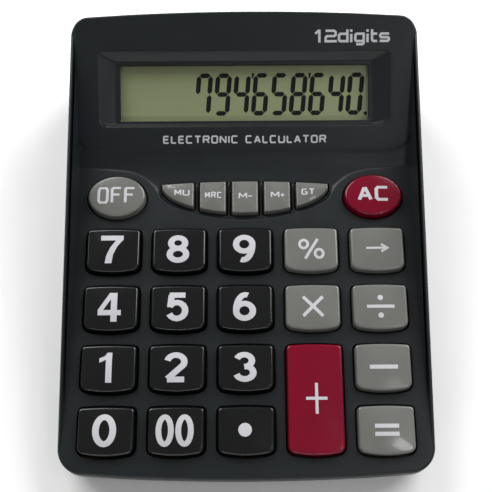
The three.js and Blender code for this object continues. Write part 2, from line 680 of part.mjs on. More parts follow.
function bottomCase() {
  const bayBlock = box(
    [-tongueX - GAP - BAY_WALL, bay.front - BAY_WALL, FLOOR_LOW],
    [tongueX + GAP + BAY_WALL, backY - BACK_BOW - WALL / 2, bay.top + BAY_WALL],
  );
  const additions = [
    solid(bayBlock),
    ...hooks.map(({ tab }) => tab),
    ...bothSides(caseScrews).map(({ x, y, split }) =>
      solid(post(POST_R, FLOOR_LOW, split - GAP / 2, x, y))),
  ];
  const rear = backY + CUT;
  const coverFront = bay.front - GAP;
  const cuts = [
    box([-bay.x, bay.front, FLOOR_LOW - CUT], [bay.x, bay.back, bay.top]),
    box([-coverX - GAP, coverFront, FLOOR_LOW - CUT], [coverX + GAP, rear, RAIL_LOW]),
    box([-tongueX - GAP, coverFront, FLOOR_TOP], [tongueX + GAP, rear, RAIL_LOW]),
  ].map(solid);
  bothSides(caseScrews).forEach(({ x, y, split }) => cuts.push(
    solid(post(SCREW_HEAD_R + GAP, 0, split - SCREW_SEAT, x, y)),
    solid(post(SCREW_R + GAP, 0, split + CUT, x, y, 8)),
    solid(post(BOSS_R + GAP, split - GAP / 2, CEILING, x, y)),
  ));
  bothSides(feet).forEach(({ x, y }) => cuts.push(
    solid(post(FOOT_R + 2 * GAP, 0, FLOOR_LOW + FOOT_SOCKET, x, y)),
  ));
  return geometryOf(cut(union(trayShell(), ...additions), ...cuts));
}
add(model, 'bottom_case', bottomCase(), finishes.case);

// ---------------------------------------------------------------- battery cover, cell and contacts
const coverBack = backY - BACK_BOW - GAP;

function batteryCover() {
  const body = union(
    solid(box([-coverX, bay.front, FLOOR_LOW], [coverX, coverBack, COVER_TOP - GAP])),
    solid(box([-tongueX, bay.front, FLOOR_TOP + GAP], [tongueX, coverBack - WALL - GAP, COVER_TOP])),
  );
  const relief = box(
    [-coverX + COVER_SKIN, bay.front + COVER_SKIN, FLOOR_TOP],
    [coverX - COVER_SKIN, bay.back - COVER_SKIN, COVER_TOP + CUT],
  );
  const { count, pitch, width, half, depth, back } = THUMB_GROOVES;
  const grooves = Array.from({ length: count }, (_, index) => {
    const y = coverBack - back - pitch * index;
    return solid(box([-half, y, FLOOR_LOW - CUT], [half, y + width, FLOOR_LOW + depth]));
  });
  return geometryOf(cut(body, solid(relief), ...grooves));
}
add(model, 'battery_cover', batteryCover(), finishes.case);

// The cell lies across the case with its positive nub at +X.
function batteryCell() {
  const [r, l] = [CELL_DIAMETER / 2, CELL_LENGTH];
  const edge = CELL_SHOULDER;
  const profile = [
    [0, 0], [r - edge, 0], [r, edge], [r, l - edge], [r - edge, l],
    [NUB_R, l], [NUB_R, l + NUB_LENGTH], [0, l + NUB_LENGTH],
  ];
  return new THREE.LatheGeometry(profile.map(([x, y]) => new THREE.Vector2(x, y)), 20);
}
const cellStart = -bay.x + SPRING_LENGTH + 2 * GAP;
const cell = add(model, 'aa_cell', batteryCell(), finishes.cell, cellStart, cellY, cellZ);
cell.rotation.z = -Math.PI / 2;

class ConeSpring extends THREE.Curve {
  getPoint(share) {
    const radius = THREE.MathUtils.lerp(SPRING_WIDE_R, SPRING_NARROW_R, share);
    const angle = 2 * Math.PI * SPRING_TURNS * share;
    const length = SPRING_LENGTH - 2 * SPRING_WIRE_R;
    return new THREE.Vector3(length * share, radius * Math.cos(angle), radius * Math.sin(angle));
  }
}
add(model, 'battery_spring', wire(new ConeSpring(), SPRING_WIRE_R, 32, 5), finishes.metal,
  -bay.x + GAP + SPRING_WIRE_R, cellY, cellZ);

add(model, 'battery_contact', box(
  [bay.x - GAP - CONTACT, cellY - CONTACT_HALF, cellZ - CONTACT_HALF],
  [bay.x - GAP, cellY + CONTACT_HALF, cellZ + CONTACT_HALF],
), finishes.metal);

// ---------------------------------------------------------------- feet and screws
const turned = (profile, sides) =>
  new THREE.LatheGeometry(profile.map(([r, z]) => new THREE.Vector2(r, z)), sides).rotateX(Math.PI / 2);

const footTop = FLOOR_LOW + FOOT_SOCKET - GAP;
const footProfile = [
  [0, 0], [FOOT_R - FOOT_EDGE.width, 0], [FOOT_R, FOOT_EDGE.height], [FOOT_R, footTop], [0, footTop],
];
bothSides(feet).forEach(({ name, side, x, y }) =>
  add(model, `foot_${name}_${side}`, turned(footProfile, 16), finishes.foot, x, y, 0));

// A pan head with a cross slot, a shank and a pointed tip. The head hangs below z = 0.
const SCREW_SHARES = { crown: 0.7, rim: 0.5, slot: 0.6, slotHalf: 0.14, slotDepth: 0.55 };
function screw(headR, headHeight, shankR, length) {
  const body = turned([
    [0, -headHeight], [headR * SCREW_SHARES.crown, -headHeight], [headR, -headHeight * SCREW_SHARES.rim],
    [headR, 0], [shankR, 0], [shankR, length - shankR], [0, length],
  ], 8);
  const slot = headR * SCREW_SHARES.slot;
  const width = headR * SCREW_SHARES.slotHalf;
  const [low, high] = [-headHeight - CUT, headHeight * (SCREW_SHARES.slotDepth - 1)];
  return geometryOf(cut(
    solid(body),
    solid(box([-slot, -width, low], [slot, width, high])),
    solid(box([-width, -slot, low], [width, slot, high])),
  ));
}
bothSides(caseScrews).forEach(({ name, side, x, y, split }) =>
  add(model, `case_screw_${name}_${side}`, screw(SCREW_HEAD_R, SCREW_HEAD, SCREW_R, SCREW_LENGTH),
    finishes.metal, x, y, split - SCREW_SEAT - GAP));

const BOARD_SCREW_LENGTH = BOARD + GAP - BOARD_TOP - WALL - 2 * GAP;
boardScrews.forEach(({ name, u, v }) =>
  add(deck, `board_screw_${name}`,
    screw(BOARD_SCREW_HEAD_R, BOARD_SCREW_HEAD, BOARD_SCREW_R, BOARD_SCREW_LENGTH),
    finishes.metal, u, v, BOARD_LOW - GAP));

// ---------------------------------------------------------------- rubber keypad and circuit board
const boardX = HALF_WIDTH - WALL - BOARD_MARGIN;
const boardBack = CREASE_V - BOARD_SETBACK;
const boardFront = -ROW_EDGE - FLANGE;
const stackHoles = (radius) => [
  ...bothSides(caseScrews.filter(({ name }) => name !== 'back')).map(({ x, y }) => {
    const at = new THREE.Vector3(x, y, 0).applyMatrix4(deckFrame.clone().invert());
    return [at.x, y / Math.cos(radians(DECK_SLOPE)), POST_R + 2 * GAP];
  }),
  ...boardScrews.map(({ u, v }) => [u, v, radius]),
];

// A sheet the shape of the board, smaller by a margin, with its holes.
function stackSheet(margin, back, low, high, holeRadius) {
  const [x, front] = [boardX - margin, boardFront + margin];
  const corner = FRONT_CORNER - margin;
  const outline = filleted([
    [-x, front, corner], [x, front, corner], [x, back - margin], [-x, back - margin],
  ], 4);
  const holes = stackHoles(holeRadius)
    .map(([u, v, r]) => solid(post(r, low - CUT, high + CUT, u, v, 8)));
  return cut(solid(prism(outline, low, high)), ...holes);
}

function keypad() {
  const sheet = stackSheet(SHEET_MARGIN, boardBack - BOARD_SETBACK, RUBBER_LOW, RUBBER_TOP,
    BOARD_BOSS_R + GAP);
  const foot = RUBBER_LOW + RUBBER / 2;
  const domes = keys.map(({ u, v, dome }) => solid(
    new THREE.CylinderGeometry(dome * DOME_TAPER, dome, DOME_TOP - foot, 8)
      .rotateX(Math.PI / 2)
      .translate(u, v, (DOME_TOP + foot) / 2),
  ));
  return geometryOf(union(sheet, ...domes));
}
add(deck, 'rubber_keypad', keypad(), finishes.rubber);

const board = stackSheet(0, boardBack, BOARD_LOW, BOARD_TOP, BOARD_SCREW_R + GAP);
add(deck, 'main_board', geometryOf(board), finishes.board);

const chipV = OVAL_V - 2;
const chip = turned([
  [0, -CHIP_RISE], [CHIP_R * 0.6, -CHIP_RISE * 0.85], [CHIP_R * 0.9, -CHIP_RISE * 0.4], [CHIP_R, 0], [0, 0],
], 16);
add(deck, 'chip_cover', chip, finishes.epoxy, 0, chipV, BOARD_LOW - GAP);
const capacitor = turned([
  [0, -CAPACITOR_LENGTH], [CAPACITOR_R, -CAPACITOR_LENGTH], [CAPACITOR_R, 0], [0, 0],
], 12);
add(deck, 'capacitor', capacitor, finishes.epoxy, CHIP_R + 5 * CAPACITOR_R, chipV + 2, BOARD_LOW - GAP);

// ---------------------------------------------------------------- display stack
const glass = lapped(windowHole, LCD_LAP);
add(head, 'display_window', plate(lapped(windowHole, LENS_LAP), LENS_LOW, LENS_TOP), finishes.window);
add(head, 'lcd_panel', plate(glass, LCD_LOW, LCD_TOP), finishes.lcd);
add(head, 'lcd_reflector', plate(glass, REFLECTOR_LOW, REFLECTOR_LOW + REFLECTOR), finishes.metal);

function lcdHolder() {
  const pocket = lapped(glass, GAP);
  const outer = lapped(pocket, HOLDER_WALL);
  const rim = LCD_TOP - HOLDER_SINK;
  const ribbonSlot = box(
    [-RIBBON_HALF - 1, outer.low - CUT, LCD_LOW + GAP / 2],
    [RIBBON_HALF + 1, pocket.low + GAP / 2, rim + CUT],
  );
  return geometryOf(cut(
    solid(plate(outer, HOLDER_LOW, rim)),
    solid(plate(pocket, HOLDER_LOW + HOLDER_WALL, rim + CUT)),
    solid(ribbonSlot),
  ));
}
add(head, 'lcd_holder', lcdHolder(), finishes.holder);

// The flexible strip that joins the glass to the board.
function ribbonStrip() {
  const atHead = (s, n) => new THREE.Vector3(0, s, n).applyMatrix4(headFrame);
  const atDeck = (v, w) => new THREE.Vector3(0, v, w).applyMatrix4(deckFrame);
  const middle = (LCD_TOP + LCD_LOW) / 2;
  const route = new THREE.CubicBezierCurve3(
    atHead(glass.low - GAP, middle), atHead(glass.low - 9, middle),
    atDeck(boardBack + 6, BOARD_TOP + GAP + RIBBON), atDeck(boardBack - 4, BOARD_TOP + GAP + RIBBON),
  );
  const steps = 10;
  const centre = route.getPoints(steps).map((p) => new THREE.Vector2(p.y, p.z));
  const side = (index, offset) => {
    const along = centre[Math.min(index + 1, steps)].clone().sub(centre[Math.max(index - 1, 0)]).normalize();
    return [centre[index].x - along.y * offset, centre[index].y + along.x * offset];
  };
  const indices = Array.from({ length: steps + 1 }, (_, index) => index);
  const upper = indices.map((index) => side(index, -RIBBON / 2));
  const lower = indices.map((index) => side(index, RIBBON / 2)).reverse();
  return crosswise([...upper, ...lower], RIBBON_HALF);
}
add(model, 'lcd_ribbon', ribbonStrip(), finishes.ribbon);

// ---------------------------------------------------------------- battery leads
// Each lead runs forward from the bay over the floor and up to the board.
function batteryLead(side) {
  const start = side * (bay.x - 3);
  const wallY = bay.front - BAY_WALL - WIRE_R - GAP;
  const boardEnd = new THREE.Vector3(side * 22, boardBack - 6, BOARD_LOW - WIRE_R - GAP)
    .applyMatrix4(deckFrame);
  const floor = FLOOR_TOP + WIRE_R + GAP;
  return wire(new THREE.CatmullRomCurve3([
    new THREE.Vector3(start, wallY, bay.top - 2),
    new THREE.Vector3(start, wallY - 1, (bay.top + floor) / 2),
    new THREE.Vector3(start - side, wallY - 6, floor + 1),
    new THREE.Vector3(side * 26, wallY - 18, floor + 0.4),
    new THREE.Vector3(boardEnd.x, boardEnd.y + 8, floor + 1.4),
    boardEnd,
  ]), WIRE_R, 20, 8);
}
add(model, 'battery_lead_black', batteryLead(-1), finishes.blackWire);
add(model, 'battery_lead_red', batteryLead(1), finishes.redWire);

// ---------------------------------------------------------------- the finished part
model.updateMatrixWorld(true);
const bounds = new THREE.Box3().setFromObject(model, true);
const middle = bounds.getCenter(new THREE.Vector3());
model.position.set(-middle.x, -middle.y, -bounds.min.z);

export default model;
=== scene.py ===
import math

import bpy
from mathutils import Euler, Matrix, Vector
from mathutils.geometry import delaunay_2d_cdt


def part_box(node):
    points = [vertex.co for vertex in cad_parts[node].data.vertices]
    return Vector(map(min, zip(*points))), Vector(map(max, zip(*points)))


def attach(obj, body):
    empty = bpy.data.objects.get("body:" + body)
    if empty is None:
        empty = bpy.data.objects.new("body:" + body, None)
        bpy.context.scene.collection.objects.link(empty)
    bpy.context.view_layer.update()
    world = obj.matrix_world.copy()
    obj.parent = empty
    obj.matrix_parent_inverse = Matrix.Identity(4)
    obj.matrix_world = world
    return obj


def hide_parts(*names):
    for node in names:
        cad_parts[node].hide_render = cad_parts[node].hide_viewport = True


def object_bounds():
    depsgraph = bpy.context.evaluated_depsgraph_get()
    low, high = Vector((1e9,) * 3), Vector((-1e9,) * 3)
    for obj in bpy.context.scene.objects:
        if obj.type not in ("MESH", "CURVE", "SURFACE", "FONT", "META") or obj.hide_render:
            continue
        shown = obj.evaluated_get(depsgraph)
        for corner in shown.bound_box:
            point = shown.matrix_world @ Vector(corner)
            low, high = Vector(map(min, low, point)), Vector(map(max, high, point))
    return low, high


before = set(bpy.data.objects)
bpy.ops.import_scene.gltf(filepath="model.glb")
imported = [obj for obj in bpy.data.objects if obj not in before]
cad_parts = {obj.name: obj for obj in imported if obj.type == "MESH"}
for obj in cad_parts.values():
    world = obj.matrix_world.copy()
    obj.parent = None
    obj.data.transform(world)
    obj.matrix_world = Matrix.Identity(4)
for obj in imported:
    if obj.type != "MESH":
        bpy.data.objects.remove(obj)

cad_low, cad_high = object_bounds()

# Lengths below are in millimetres and angles in degrees. MM turns them into the frame's metres.
MM = 0.001

# ------------------------------------------------------------------ sizes shared with the CAD
DECK_SLOPE = math.radians(3)
HEAD_SLOPE = math.radians(26)
KEY_WIDTH = 22.1
KEY_DEPTH = 19.2
KEY_GAP_X, KEY_GAP_Y = 4.8, 5.03
FRONT_MARGIN, SIDE_MARGIN = 8.45, 7.65
FRONT_HEIGHT = 13.5
PITCH_X = KEY_WIDTH + KEY_GAP_X
PITCH_Y = KEY_DEPTH + KEY_GAP_Y
ROW_EDGE = 1.5 * PITCH_Y + KEY_DEPTH / 2
FRONT_V = -(ROW_EDGE + FRONT_MARGIN)
OVAL_RX = 12.1
OVAL_RY = 9.25
OVAL_GAP, OVAL_SHIFT, CREASE_GAP = 4.8, 0.5, 4.4
OVAL_U = 2 * PITCH_X - OVAL_SHIFT
OVAL_V = ROW_EDGE + OVAL_GAP + OVAL_RY
CREASE_V = OVAL_V + OVAL_RY + CREASE_GAP
DECK_HEIGHT = FRONT_HEIGHT - FRONT_V * math.sin(DECK_SLOPE)
HALF_WIDTH = 2 * PITCH_X + KEY_WIDTH / 2 + SIDE_MARGIN
FRONT_BOW, BACK_BOW = 2.9, 2.1
FRONT_CORNER, BACK_CORNER = 10, 7.5
WALL = 2
SKIRT = 6
KEY_RISE, MEMORY_RISE, CROWN = 3, 1.6, 0.6
KEY_LOW = -3.3
KEY_DRAFT = 0.3  # how far the skirt leans in at the top
LOW_BOW, TOP_BOW = 1.4, 0.5
LOW_CORNER, TOP_CORNER = 3, 1.7
# Shoulder radius, wall and roof of a cap.
GRID_CAP = (1.0, 1.6, 2.2)
MEMORY_CAP = (0.6, 1.0, 1.2)
# The square post under a cap, which presses the dome.
POST_HALF, POST_LOW = 1.5, -1.2
POST_CORNER, POST_CHAMFER, POST_SINK = 0.4, 0.3, 0.2
SHOULDER_STEPS, CROWN_STEPS = 6, 10
KEY_CLEARANCE = 0.55
# The rounded lip of a key's opening: how far out it starts, where it turns down, and how deep it goes.
LIP, LIP_TURN, LIP_DEPTH = 0.35, 0.1, 0.35
MEMORY_HALF, MEMORY_TOP_BOW, MEMORY_DROP = 35.5, 1.4, 13.2
MEMORY_LIFT = 5.8  # the lens's middle line above the ovals' middle
MEMORY_KEY, MEMORY_GAP, MEMORY_V = 11.3, 2.1, OVAL_V + MEMORY_LIFT
MEMORY_TIP_CUT, TIP_KEY_MIDDLE, MEMORY_CORNER = 0.6, 4, 0.5
BEZEL = dict(x=HALF_WIDTH - 11.5, low=17.4, high=48.5)
LAND = dict(x=BEZEL["x"] - 6.5, low=BEZEL["low"] + 1.2, high=BEZEL["high"] - 3.7)
WINDOW = dict(x=LAND["x"] - 2.2, low=LAND["low"] + 1.2, high=LAND["high"] - 1.9)
BEZEL_DEPTH = 2
FRAME_DEPTH = 1.2
LCD_TOP = -5.0

front_y = cad_low.y / MM
back_y = cad_high.y / MM
deck_y = front_y - FRONT_V * math.cos(DECK_SLOPE)
crease_y = deck_y + CREASE_V * math.cos(DECK_SLOPE)
crease_z = DECK_HEIGHT + CREASE_V * math.sin(DECK_SLOPE)
DECK = Matrix.Translation((0, deck_y, DECK_HEIGHT)) @ Matrix.Rotation(DECK_SLOPE, 4, "X")
HEAD = Matrix.Translation((0, crease_y, crease_z)) @ Matrix.Rotation(HEAD_SLOPE, 4, "X")
DECK_NORMAL = DECK.to_3x3() @ Vector((0, 0, 1))
HEAD_NORMAL = HEAD.to_3x3() @ Vector((0, 0, 1))


# ------------------------------------------------------------------ materials
def new_material(name):
    material = bpy.data.materials.new(name)
    material.use_nodes = True
    return material, material.node_tree.nodes, material.node_tree.links


DRIFT, WEAR, RELIEF = 22, 6, 0.05  # size of the colour drift, size of the gloss wear, height of the grain


def plastic(name, color, roughness, grain=0.25, bump=0.12, coat=0.0, variation=0.06, metallic=0.0,
            specular=0.5):
    """Moulded plastic: a fine surface grain, a slow drift of colour, and a little wear in the gloss."""
    material, nodes, links = new_material(name)
    shader = nodes["Principled BSDF"]
    shader.inputs["Metallic"].default_value = metallic
    shader.inputs["Specular IOR Level"].default_value = specular
    shader.inputs["Coat Weight"].default_value = coat
    shader.inputs["Coat Roughness"].default_value = 0.05
    place = nodes.new("ShaderNodeTexCoord")

    def noise(size, detail):
        node = nodes.new("ShaderNodeTexNoise")
        node.inputs["Scale"].default_value = 1 / (size * MM)
        node.inputs["Detail"].default_value = detail
        links.new(place.outputs["Object"], node.inputs["Vector"])
        return node.outputs["Fac"]

    tint = nodes.new("ShaderNodeValToRGB")
    for end, side in ((0, 1 - variation), (1, 1 + variation)):
        tint.color_ramp.elements[end].position = 0.3 + 0.4 * end
        tint.color_ramp.elements[end].color = [*(c * side for c in color), 1]
    links.new(noise(DRIFT, 3), tint.inputs["Fac"])
    links.new(tint.outputs["Color"], shader.inputs["Base Color"])
    gloss = nodes.new("ShaderNodeMapRange")
    gloss.inputs["To Min"].default_value = roughness * 0.88
    gloss.inputs["To Max"].default_value = roughness * 1.12
    links.new(noise(WEAR, 5), gloss.inputs["Value"])
    links.new(gloss.outputs["Result"], shader.inputs["Roughness"])
    relief = nodes.new("ShaderNodeBump")
    relief.inputs["Strength"].default_value = bump
    relief.inputs["Distance"].default_value = RELIEF * MM
    links.new(noise(grain, 2), relief.inputs["Height"])
    links.new(relief.outputs["Normal"], shader.inputs["Normal"])
    return material


def linear(r, g, b):
    """An 8-bit display colour as the shader's linear values."""
    return [c / 255 / 12.92 if c <= 10 else ((c / 255 + 0.055) / 1.055) ** 2.4 for c in (r, g, b)]


def clear_window():
    material, nodes, links = new_material("clear_window")
    shader = nodes["Principled BSDF"]
    shader.inputs["Base Color"].default_value = (0.03, 0.03, 0.03, 1)
    shader.inputs["Alpha"].default_value = 0.06
    shader.inputs["IOR"].default_value = 1.49
    haze = nodes.new("ShaderNodeTexNoise")
    haze.inputs["Scale"].default_value = 1 / (8 * MM)
    gloss = nodes.new("ShaderNodeMapRange")
    gloss.inputs["To Min"].default_value = 0.02
    gloss.inputs["To Max"].default_value = 0.07
    links.new(haze.outputs["Fac"], gloss.inputs["Value"])
    links.new(gloss.outputs["Result"], shader.inputs["Roughness"])
    return material


M = {
    "case": plastic("case", linear(24, 28, 30), 0.38, specular=0.3),
    "digit_key": plastic("digit_key", linear(8, 9, 10), 0.2, grain=0.6, bump=0.03, coat=0.15),
    "grey_key": plastic("grey_key", linear(101, 102, 98), 0.2, grain=0.6, bump=0.03, coat=0.25),
    "red_key": plastic("red_key", linear(108, 1, 30), 0.18, grain=0.6, bump=0.03, coat=0.15, specular=0.35),
    "print": plastic("print", linear(180, 180, 184), 0.4, grain=0.5, bump=0.05),
    "case_print": plastic("case_print", linear(172, 175, 178), 0.45, grain=0.5, bump=0.05),
    "window": clear_window(),
    "lcd": plastic("lcd", linear(144, 152, 113), 0.35, grain=0.4, bump=0.02, variation=0.03),
    "segment": plastic("segment", linear(3, 5, 4), 0.6, grain=0.4, bump=0.02, specular=0.2),
    "rubber": plastic("rubber", linear(80, 82, 82), 0.8, grain=0.8, bump=0.2),
    "foot": plastic("foot", linear(22, 23, 24), 0.75, grain=0.5, bump=0.3),
    "metal": plastic("metal", linear(190, 191, 192), 0.3, grain=0.4, bump=0.06, metallic=1),
    "reflector": plastic("reflector", linear(185, 186, 184), 0.5, grain=0.6, bump=0.05, metallic=0.8),
    "holder": plastic("holder", linear(216, 214, 204), 0.5),
    "ribbon": plastic("ribbon", linear(168, 164, 154), 0.5),
    "board": plastic("board", linear(160, 118, 62), 0.55, grain=0.5, variation=0.15),
    "epoxy": plastic("epoxy", linear(16, 16, 18), 0.25, grain=1.5, bump=0.2),
    "cell": plastic("cell", linear(44, 80, 134), 0.32, grain=0.8, bump=0.05),
    "red_wire": plastic("red_wire", linear(168, 30, 30), 0.4),
    "black_wire": plastic("black_wire", linear(22, 22, 22), 0.4),
}


# ------------------------------------------------------------------ outlines
def filleted(corners, steps=10):
    """An outline from corners (x, y, radius), anticlockwise, with each radius turned into an arc."""
    points = []
    for index, corner in enumerate(corners):
        here = Vector(corner[:2])
        radius = corner[2] if len(corner) > 2 else 0
        if not radius:
            points.append(here)
            continue
        inward = (Vector(corners[index - 1][:2]) - here).normalized()
        outward = (Vector(corners[(index + 1) % len(corners)][:2]) - here).normalized()
        half = math.acos(max(-1, min(1, inward.dot(outward)))) / 2
        centre = here + (inward + outward).normalized() * radius / math.sin(half)
        start = here + inward * radius / math.tan(half) - centre
        for step in range(steps + 1):
            angle = (math.pi - 2 * half) * step / steps
            turn = Matrix.Rotation(angle, 2)
            points.append(centre + turn @ start)
    return points


def bow(start, end, sagitta, steps):
    """Points strictly between two ends of a shallow bow."""
    start, end = Vector(start), Vector(end)
    side = Vector(((end - start).y, -(end - start).x)).normalized()
    shares = [step / steps for step in range(1, steps)]
    return [tuple(start.lerp(end, s) + side * sagitta * (1 - (2 * s - 1) ** 2)) for s in shares]


def grown(points, distance):
    """The outline moved outwards, or inwards where the distance is negative."""
    result = []
    for index, point in enumerate(points):
        first = (point - points[index - 1]).normalized()
        second = (points[(index + 1) % len(points)] - point).normalized()
        across = Vector((first.y + second.y, -first.x - second.x)).normalized()
        stretch = 1 / max(0.5, across.dot(Vector((first.y, -first.x))))
        result.append(point + across * distance * stretch)
    return result


def pad_outline(depth):
    x, top, low = KEY_WIDTH / 2, depth / 2 - TOP_BOW, -depth / 2 + LOW_BOW
    return filleted([
        (-x, low, LOW_CORNER), *bow((-x, low), (x, low), LOW_BOW, 12)[1:-1], (x, low, LOW_CORNER),
        (x, top, TOP_CORNER), *bow((x, top), (-x, top), TOP_BOW, 8), (-x, top, TOP_CORNER),
    ])


def oval_outline(sides=72):
    turns = [2 * math.pi * side / sides for side in range(sides)]
    return [Vector((OVAL_RX * math.cos(t), OVAL_RY * math.sin(t))) for t in turns]


def lens_top(u):
    return MEMORY_TOP_BOW * (1 - (u / MEMORY_HALF) ** 2)


def lens_low(u):
    return -MEMORY_DROP * math.sqrt(max(0, 1 - (u / MEMORY_HALF) ** 2))


def lens_slice(start, end, centre, steps=10):
    """One memory key's share of the lens, with small radii at its corners."""
    at = [start + (end - start) * step / steps for step in range(steps + 1)]
    low = [(u, lens_low(u)) for u in at]
    top = [(u, lens_top(u)) for u in reversed(at)]
    rounded = [(*p, MEMORY_CORNER) if i in (0, steps) else p for i, p in enumerate(low)]
    rounded += [(*p, MEMORY_CORNER) if i in (0, steps) else p for i, p in enumerate(top)]
    return [p - Vector(centre) for p in filleted(rounded, 4)]


def case_outline(inset):
    x, front, back = HALF_WIDTH - inset, front_y + inset + FRONT_BOW, back_y - inset - BACK_BOW
    return filleted([
        (-x, front, FRONT_CORNER - inset), *bow((-x, front), (x, front), FRONT_BOW, 30)[4:-4],
        (x, front, FRONT_CORNER - inset), (x, back, BACK_CORNER - inset),
        *bow((x, back), (-x, back), BACK_BOW, 30)[4:-4], (-x, back, BACK_CORNER - inset),
    ], 14)


def divided(loop, spacing):
    """The points of a loop with the long runs between them divided."""
    points = []
    for index, b in enumerate(loop):
        a = loop[index - 1]
        parts = max(1, math.ceil((b - a).length / spacing - 0.01))
        points += [a.lerp(b, part / parts) for part in range(parts)]
    return points


def inside(point, loop):
    """Whether a closed loop winds round a point."""
    turns = 0
    for index, b in enumerate(loop):
        a = loop[index - 1]
        if (a.y > point.y) != (b.y > point.y):
            if point.x < a.x + (b.x - a.x) * (point.y - a.y) / (b.y - a.y):
                turns += 1 if b.y > a.y else -1
    return turns != 0


# ------------------------------------------------------------------ meshes
def mesh_object(name, vertices, faces, material, body, sharp=32):
    mesh = bpy.data.meshes.new(name)
    mesh.from_pydata([tuple(Vector(v) * MM) for v in vertices], [], faces)
    mesh.materials.append(material)
    mesh.validate()
    piece = bpy.data.objects.new(name, mesh)
    bpy.context.scene.collection.objects.link(piece)
    mesh.shade_smooth()
    mesh.set_sharp_from_angle(angle=math.radians(sharp))
    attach(piece, body)
    return piece


def weighted(piece):
    modifier = piece.modifiers.new("face_weighted_normals", "WEIGHTED_NORMAL")
    modifier.keep_sharp = True
    return piece


def stack(rings):
    """Quads between closed rings of equal length, each ring a list of points."""
    count = len(rings[0])
    vertices = [v for ring in rings for v in ring]
    faces = []
    for level in range(len(rings) - 1):
        for index in range(count):
            a, b = level * count + index, level * count + (index + 1) % count
            faces.append((a, b, b + count, a + count))
    return vertices, faces


def cdt(loops, points=(), output=0):
    """Triangles over loops and loose points. Returns corners, triangles and each corner's input index."""
    corners = [Vector(p) for loop in loops for p in loop] + [Vector(p) for p in points]
    edges, start = [], 0
    for loop in loops:
        edges += [(start + i, start + (i + 1) % len(loop)) for i in range(len(loop))]
        start += len(loop)
    out = delaunay_2d_cdt(corners, edges, [], output, 1e-5)
    return out[0], out[2], out[3]


# ------------------------------------------------------------------ the top case's surface
# The head stands on an apron that is sunk into the deck and curves up to it. On the apron lies a panel.
APRON_DEPTH = 0.5
# The width of the crease's curve at the middle, and how much narrower it is at the sides.
CREASE_SOFTNESS, CREASE_SHARPER = 3.2, 2.0
CREASE_CHANGE = 30  # it starts to narrow this far from the middle, and takes as long again
PANEL_STEP = 0.3
STEP_WIDTH = 1.3
# Where the apron meets the deck: distance from the middle, distance up the deck.
APRON_EDGE = [(0, 50), (14, 51.3), (28, 55.2), (35, 59.3), (38, 64.5), (43, 69), (49, 71.6), (57, 72.6),
              (66, 73.3), (HALF_WIDTH + 1, 73.65)]
BEND = math.tan(HEAD_SLOPE) - math.tan(DECK_SLOPE)


def deck_plane(y):
    return DECK_HEIGHT + (y - deck_y) * math.tan(DECK_SLOPE)


def smooth(share):
    share = min(1, max(0, share))
    return share * share * (3 - 2 * share)


def apron_height(x, y):
    """The apron above the deck plane: a shallow floor that curves up into the head."""
    width = CREASE_SOFTNESS - CREASE_SHARPER * smooth((abs(x) - CREASE_CHANGE) / CREASE_CHANGE)
    reach = (y - crease_y + APRON_DEPTH / BEND) / width
    soft = reach if reach > 30 else math.log1p(math.exp(reach))
    return -APRON_DEPTH + width * BEND * soft


def apron_curve(steps=290):
    """The apron's edge as a smooth line of plan points, from the left side to the right."""
    knots = [(-u, v) for u, v in reversed(APRON_EDGE[1:])] + APRON_EDGE
    points = []
    for step in range(steps + 1):
        x = (HALF_WIDTH + 1) * (2 * step / steps - 1)
        index = max(0, min(len(knots) - 2, sum(knot[0] <= x for knot in knots) - 1))
        (x0, v0), (x1, v1) = knots[index], knots[index + 1]
        before, after = knots[max(0, index - 1)], knots[min(len(knots) - 1, index + 2)]
        m0, m1 = (v1 - before[1]) / (x1 - before[0]), (after[1] - v0) / (after[0] - x0)
        t, d = (x - x0) / (x1 - x0), x1 - x0
        v = ((2 * t**3 - 3 * t**2 + 1) * v0 + (t**3 - 2 * t**2 + t) * d * m0
             + (3 * t**2 - 2 * t**3) * v1 + (t**3 - t**2) * d * m1)
        points.append(Vector((x, deck_y + v * math.cos(DECK_SLOPE))))
    return points


EDGE_LINE = apron_curve()
EDGE_SPACING = EDGE_LINE[1].x - EDGE_LINE[0].x


def past_edge(x, y):
    """How far a plan point lies beyond the apron's edge, measured across it."""
    place = (x - EDGE_LINE[0].x) / EDGE_SPACING
    index = max(0, min(len(EDGE_LINE) - 2, int(place)))
    a, b = EDGE_LINE[index], EDGE_LINE[index + 1]
    slope = (b.y - a.y) / (b.x - a.x)
    return (y - a.y - slope * (x - a.x)) / math.hypot(1, slope)


def edge_offset(distance):
    """The apron's edge line moved across itself."""
    moved = []
    for a, b in zip(EDGE_LINE, EDGE_LINE[1:]):
        across = Vector((a.y - b.y, b.x - a.x)).normalized()
        moved.append((a + b) / 2 + across * distance)
    return moved


def surface(x, y):
    """Height of the top face. The deck steps down to the apron and the apron up to the panel."""
    ramp = smooth(past_edge(x, y) / STEP_WIDTH)
    if not ramp:
        return deck_plane(y)
    return deck_plane(y) + ramp * (apron_height(x, y) - PANEL_STEP * (1 - on_panel(x, y)))


def head_rect(size, radii, grow=0):
    """A rounded rectangle on the head, as plan points."""
    x, low, high = size["x"] + grow, size["low"] - grow, size["high"] + grow
    low_radius, high_radius = radii
    corners = [(-x, low, low_radius), (x, low, low_radius), (x, high, high_radius), (-x, high, high_radius)]
    flat = filleted(corners, 8)
    return [Vector((p.x, crease_y + p.y * math.cos(HEAD_SLOPE))) for p in flat]


PANEL = dict(x=HALF_WIDTH - 1.9, low=7.7, high=90)
PANEL_EDGE = 0.35
PANEL_LOOPS = [head_rect(PANEL, (8.5 + grow, 1), grow) for grow in (0, PANEL_EDGE)]


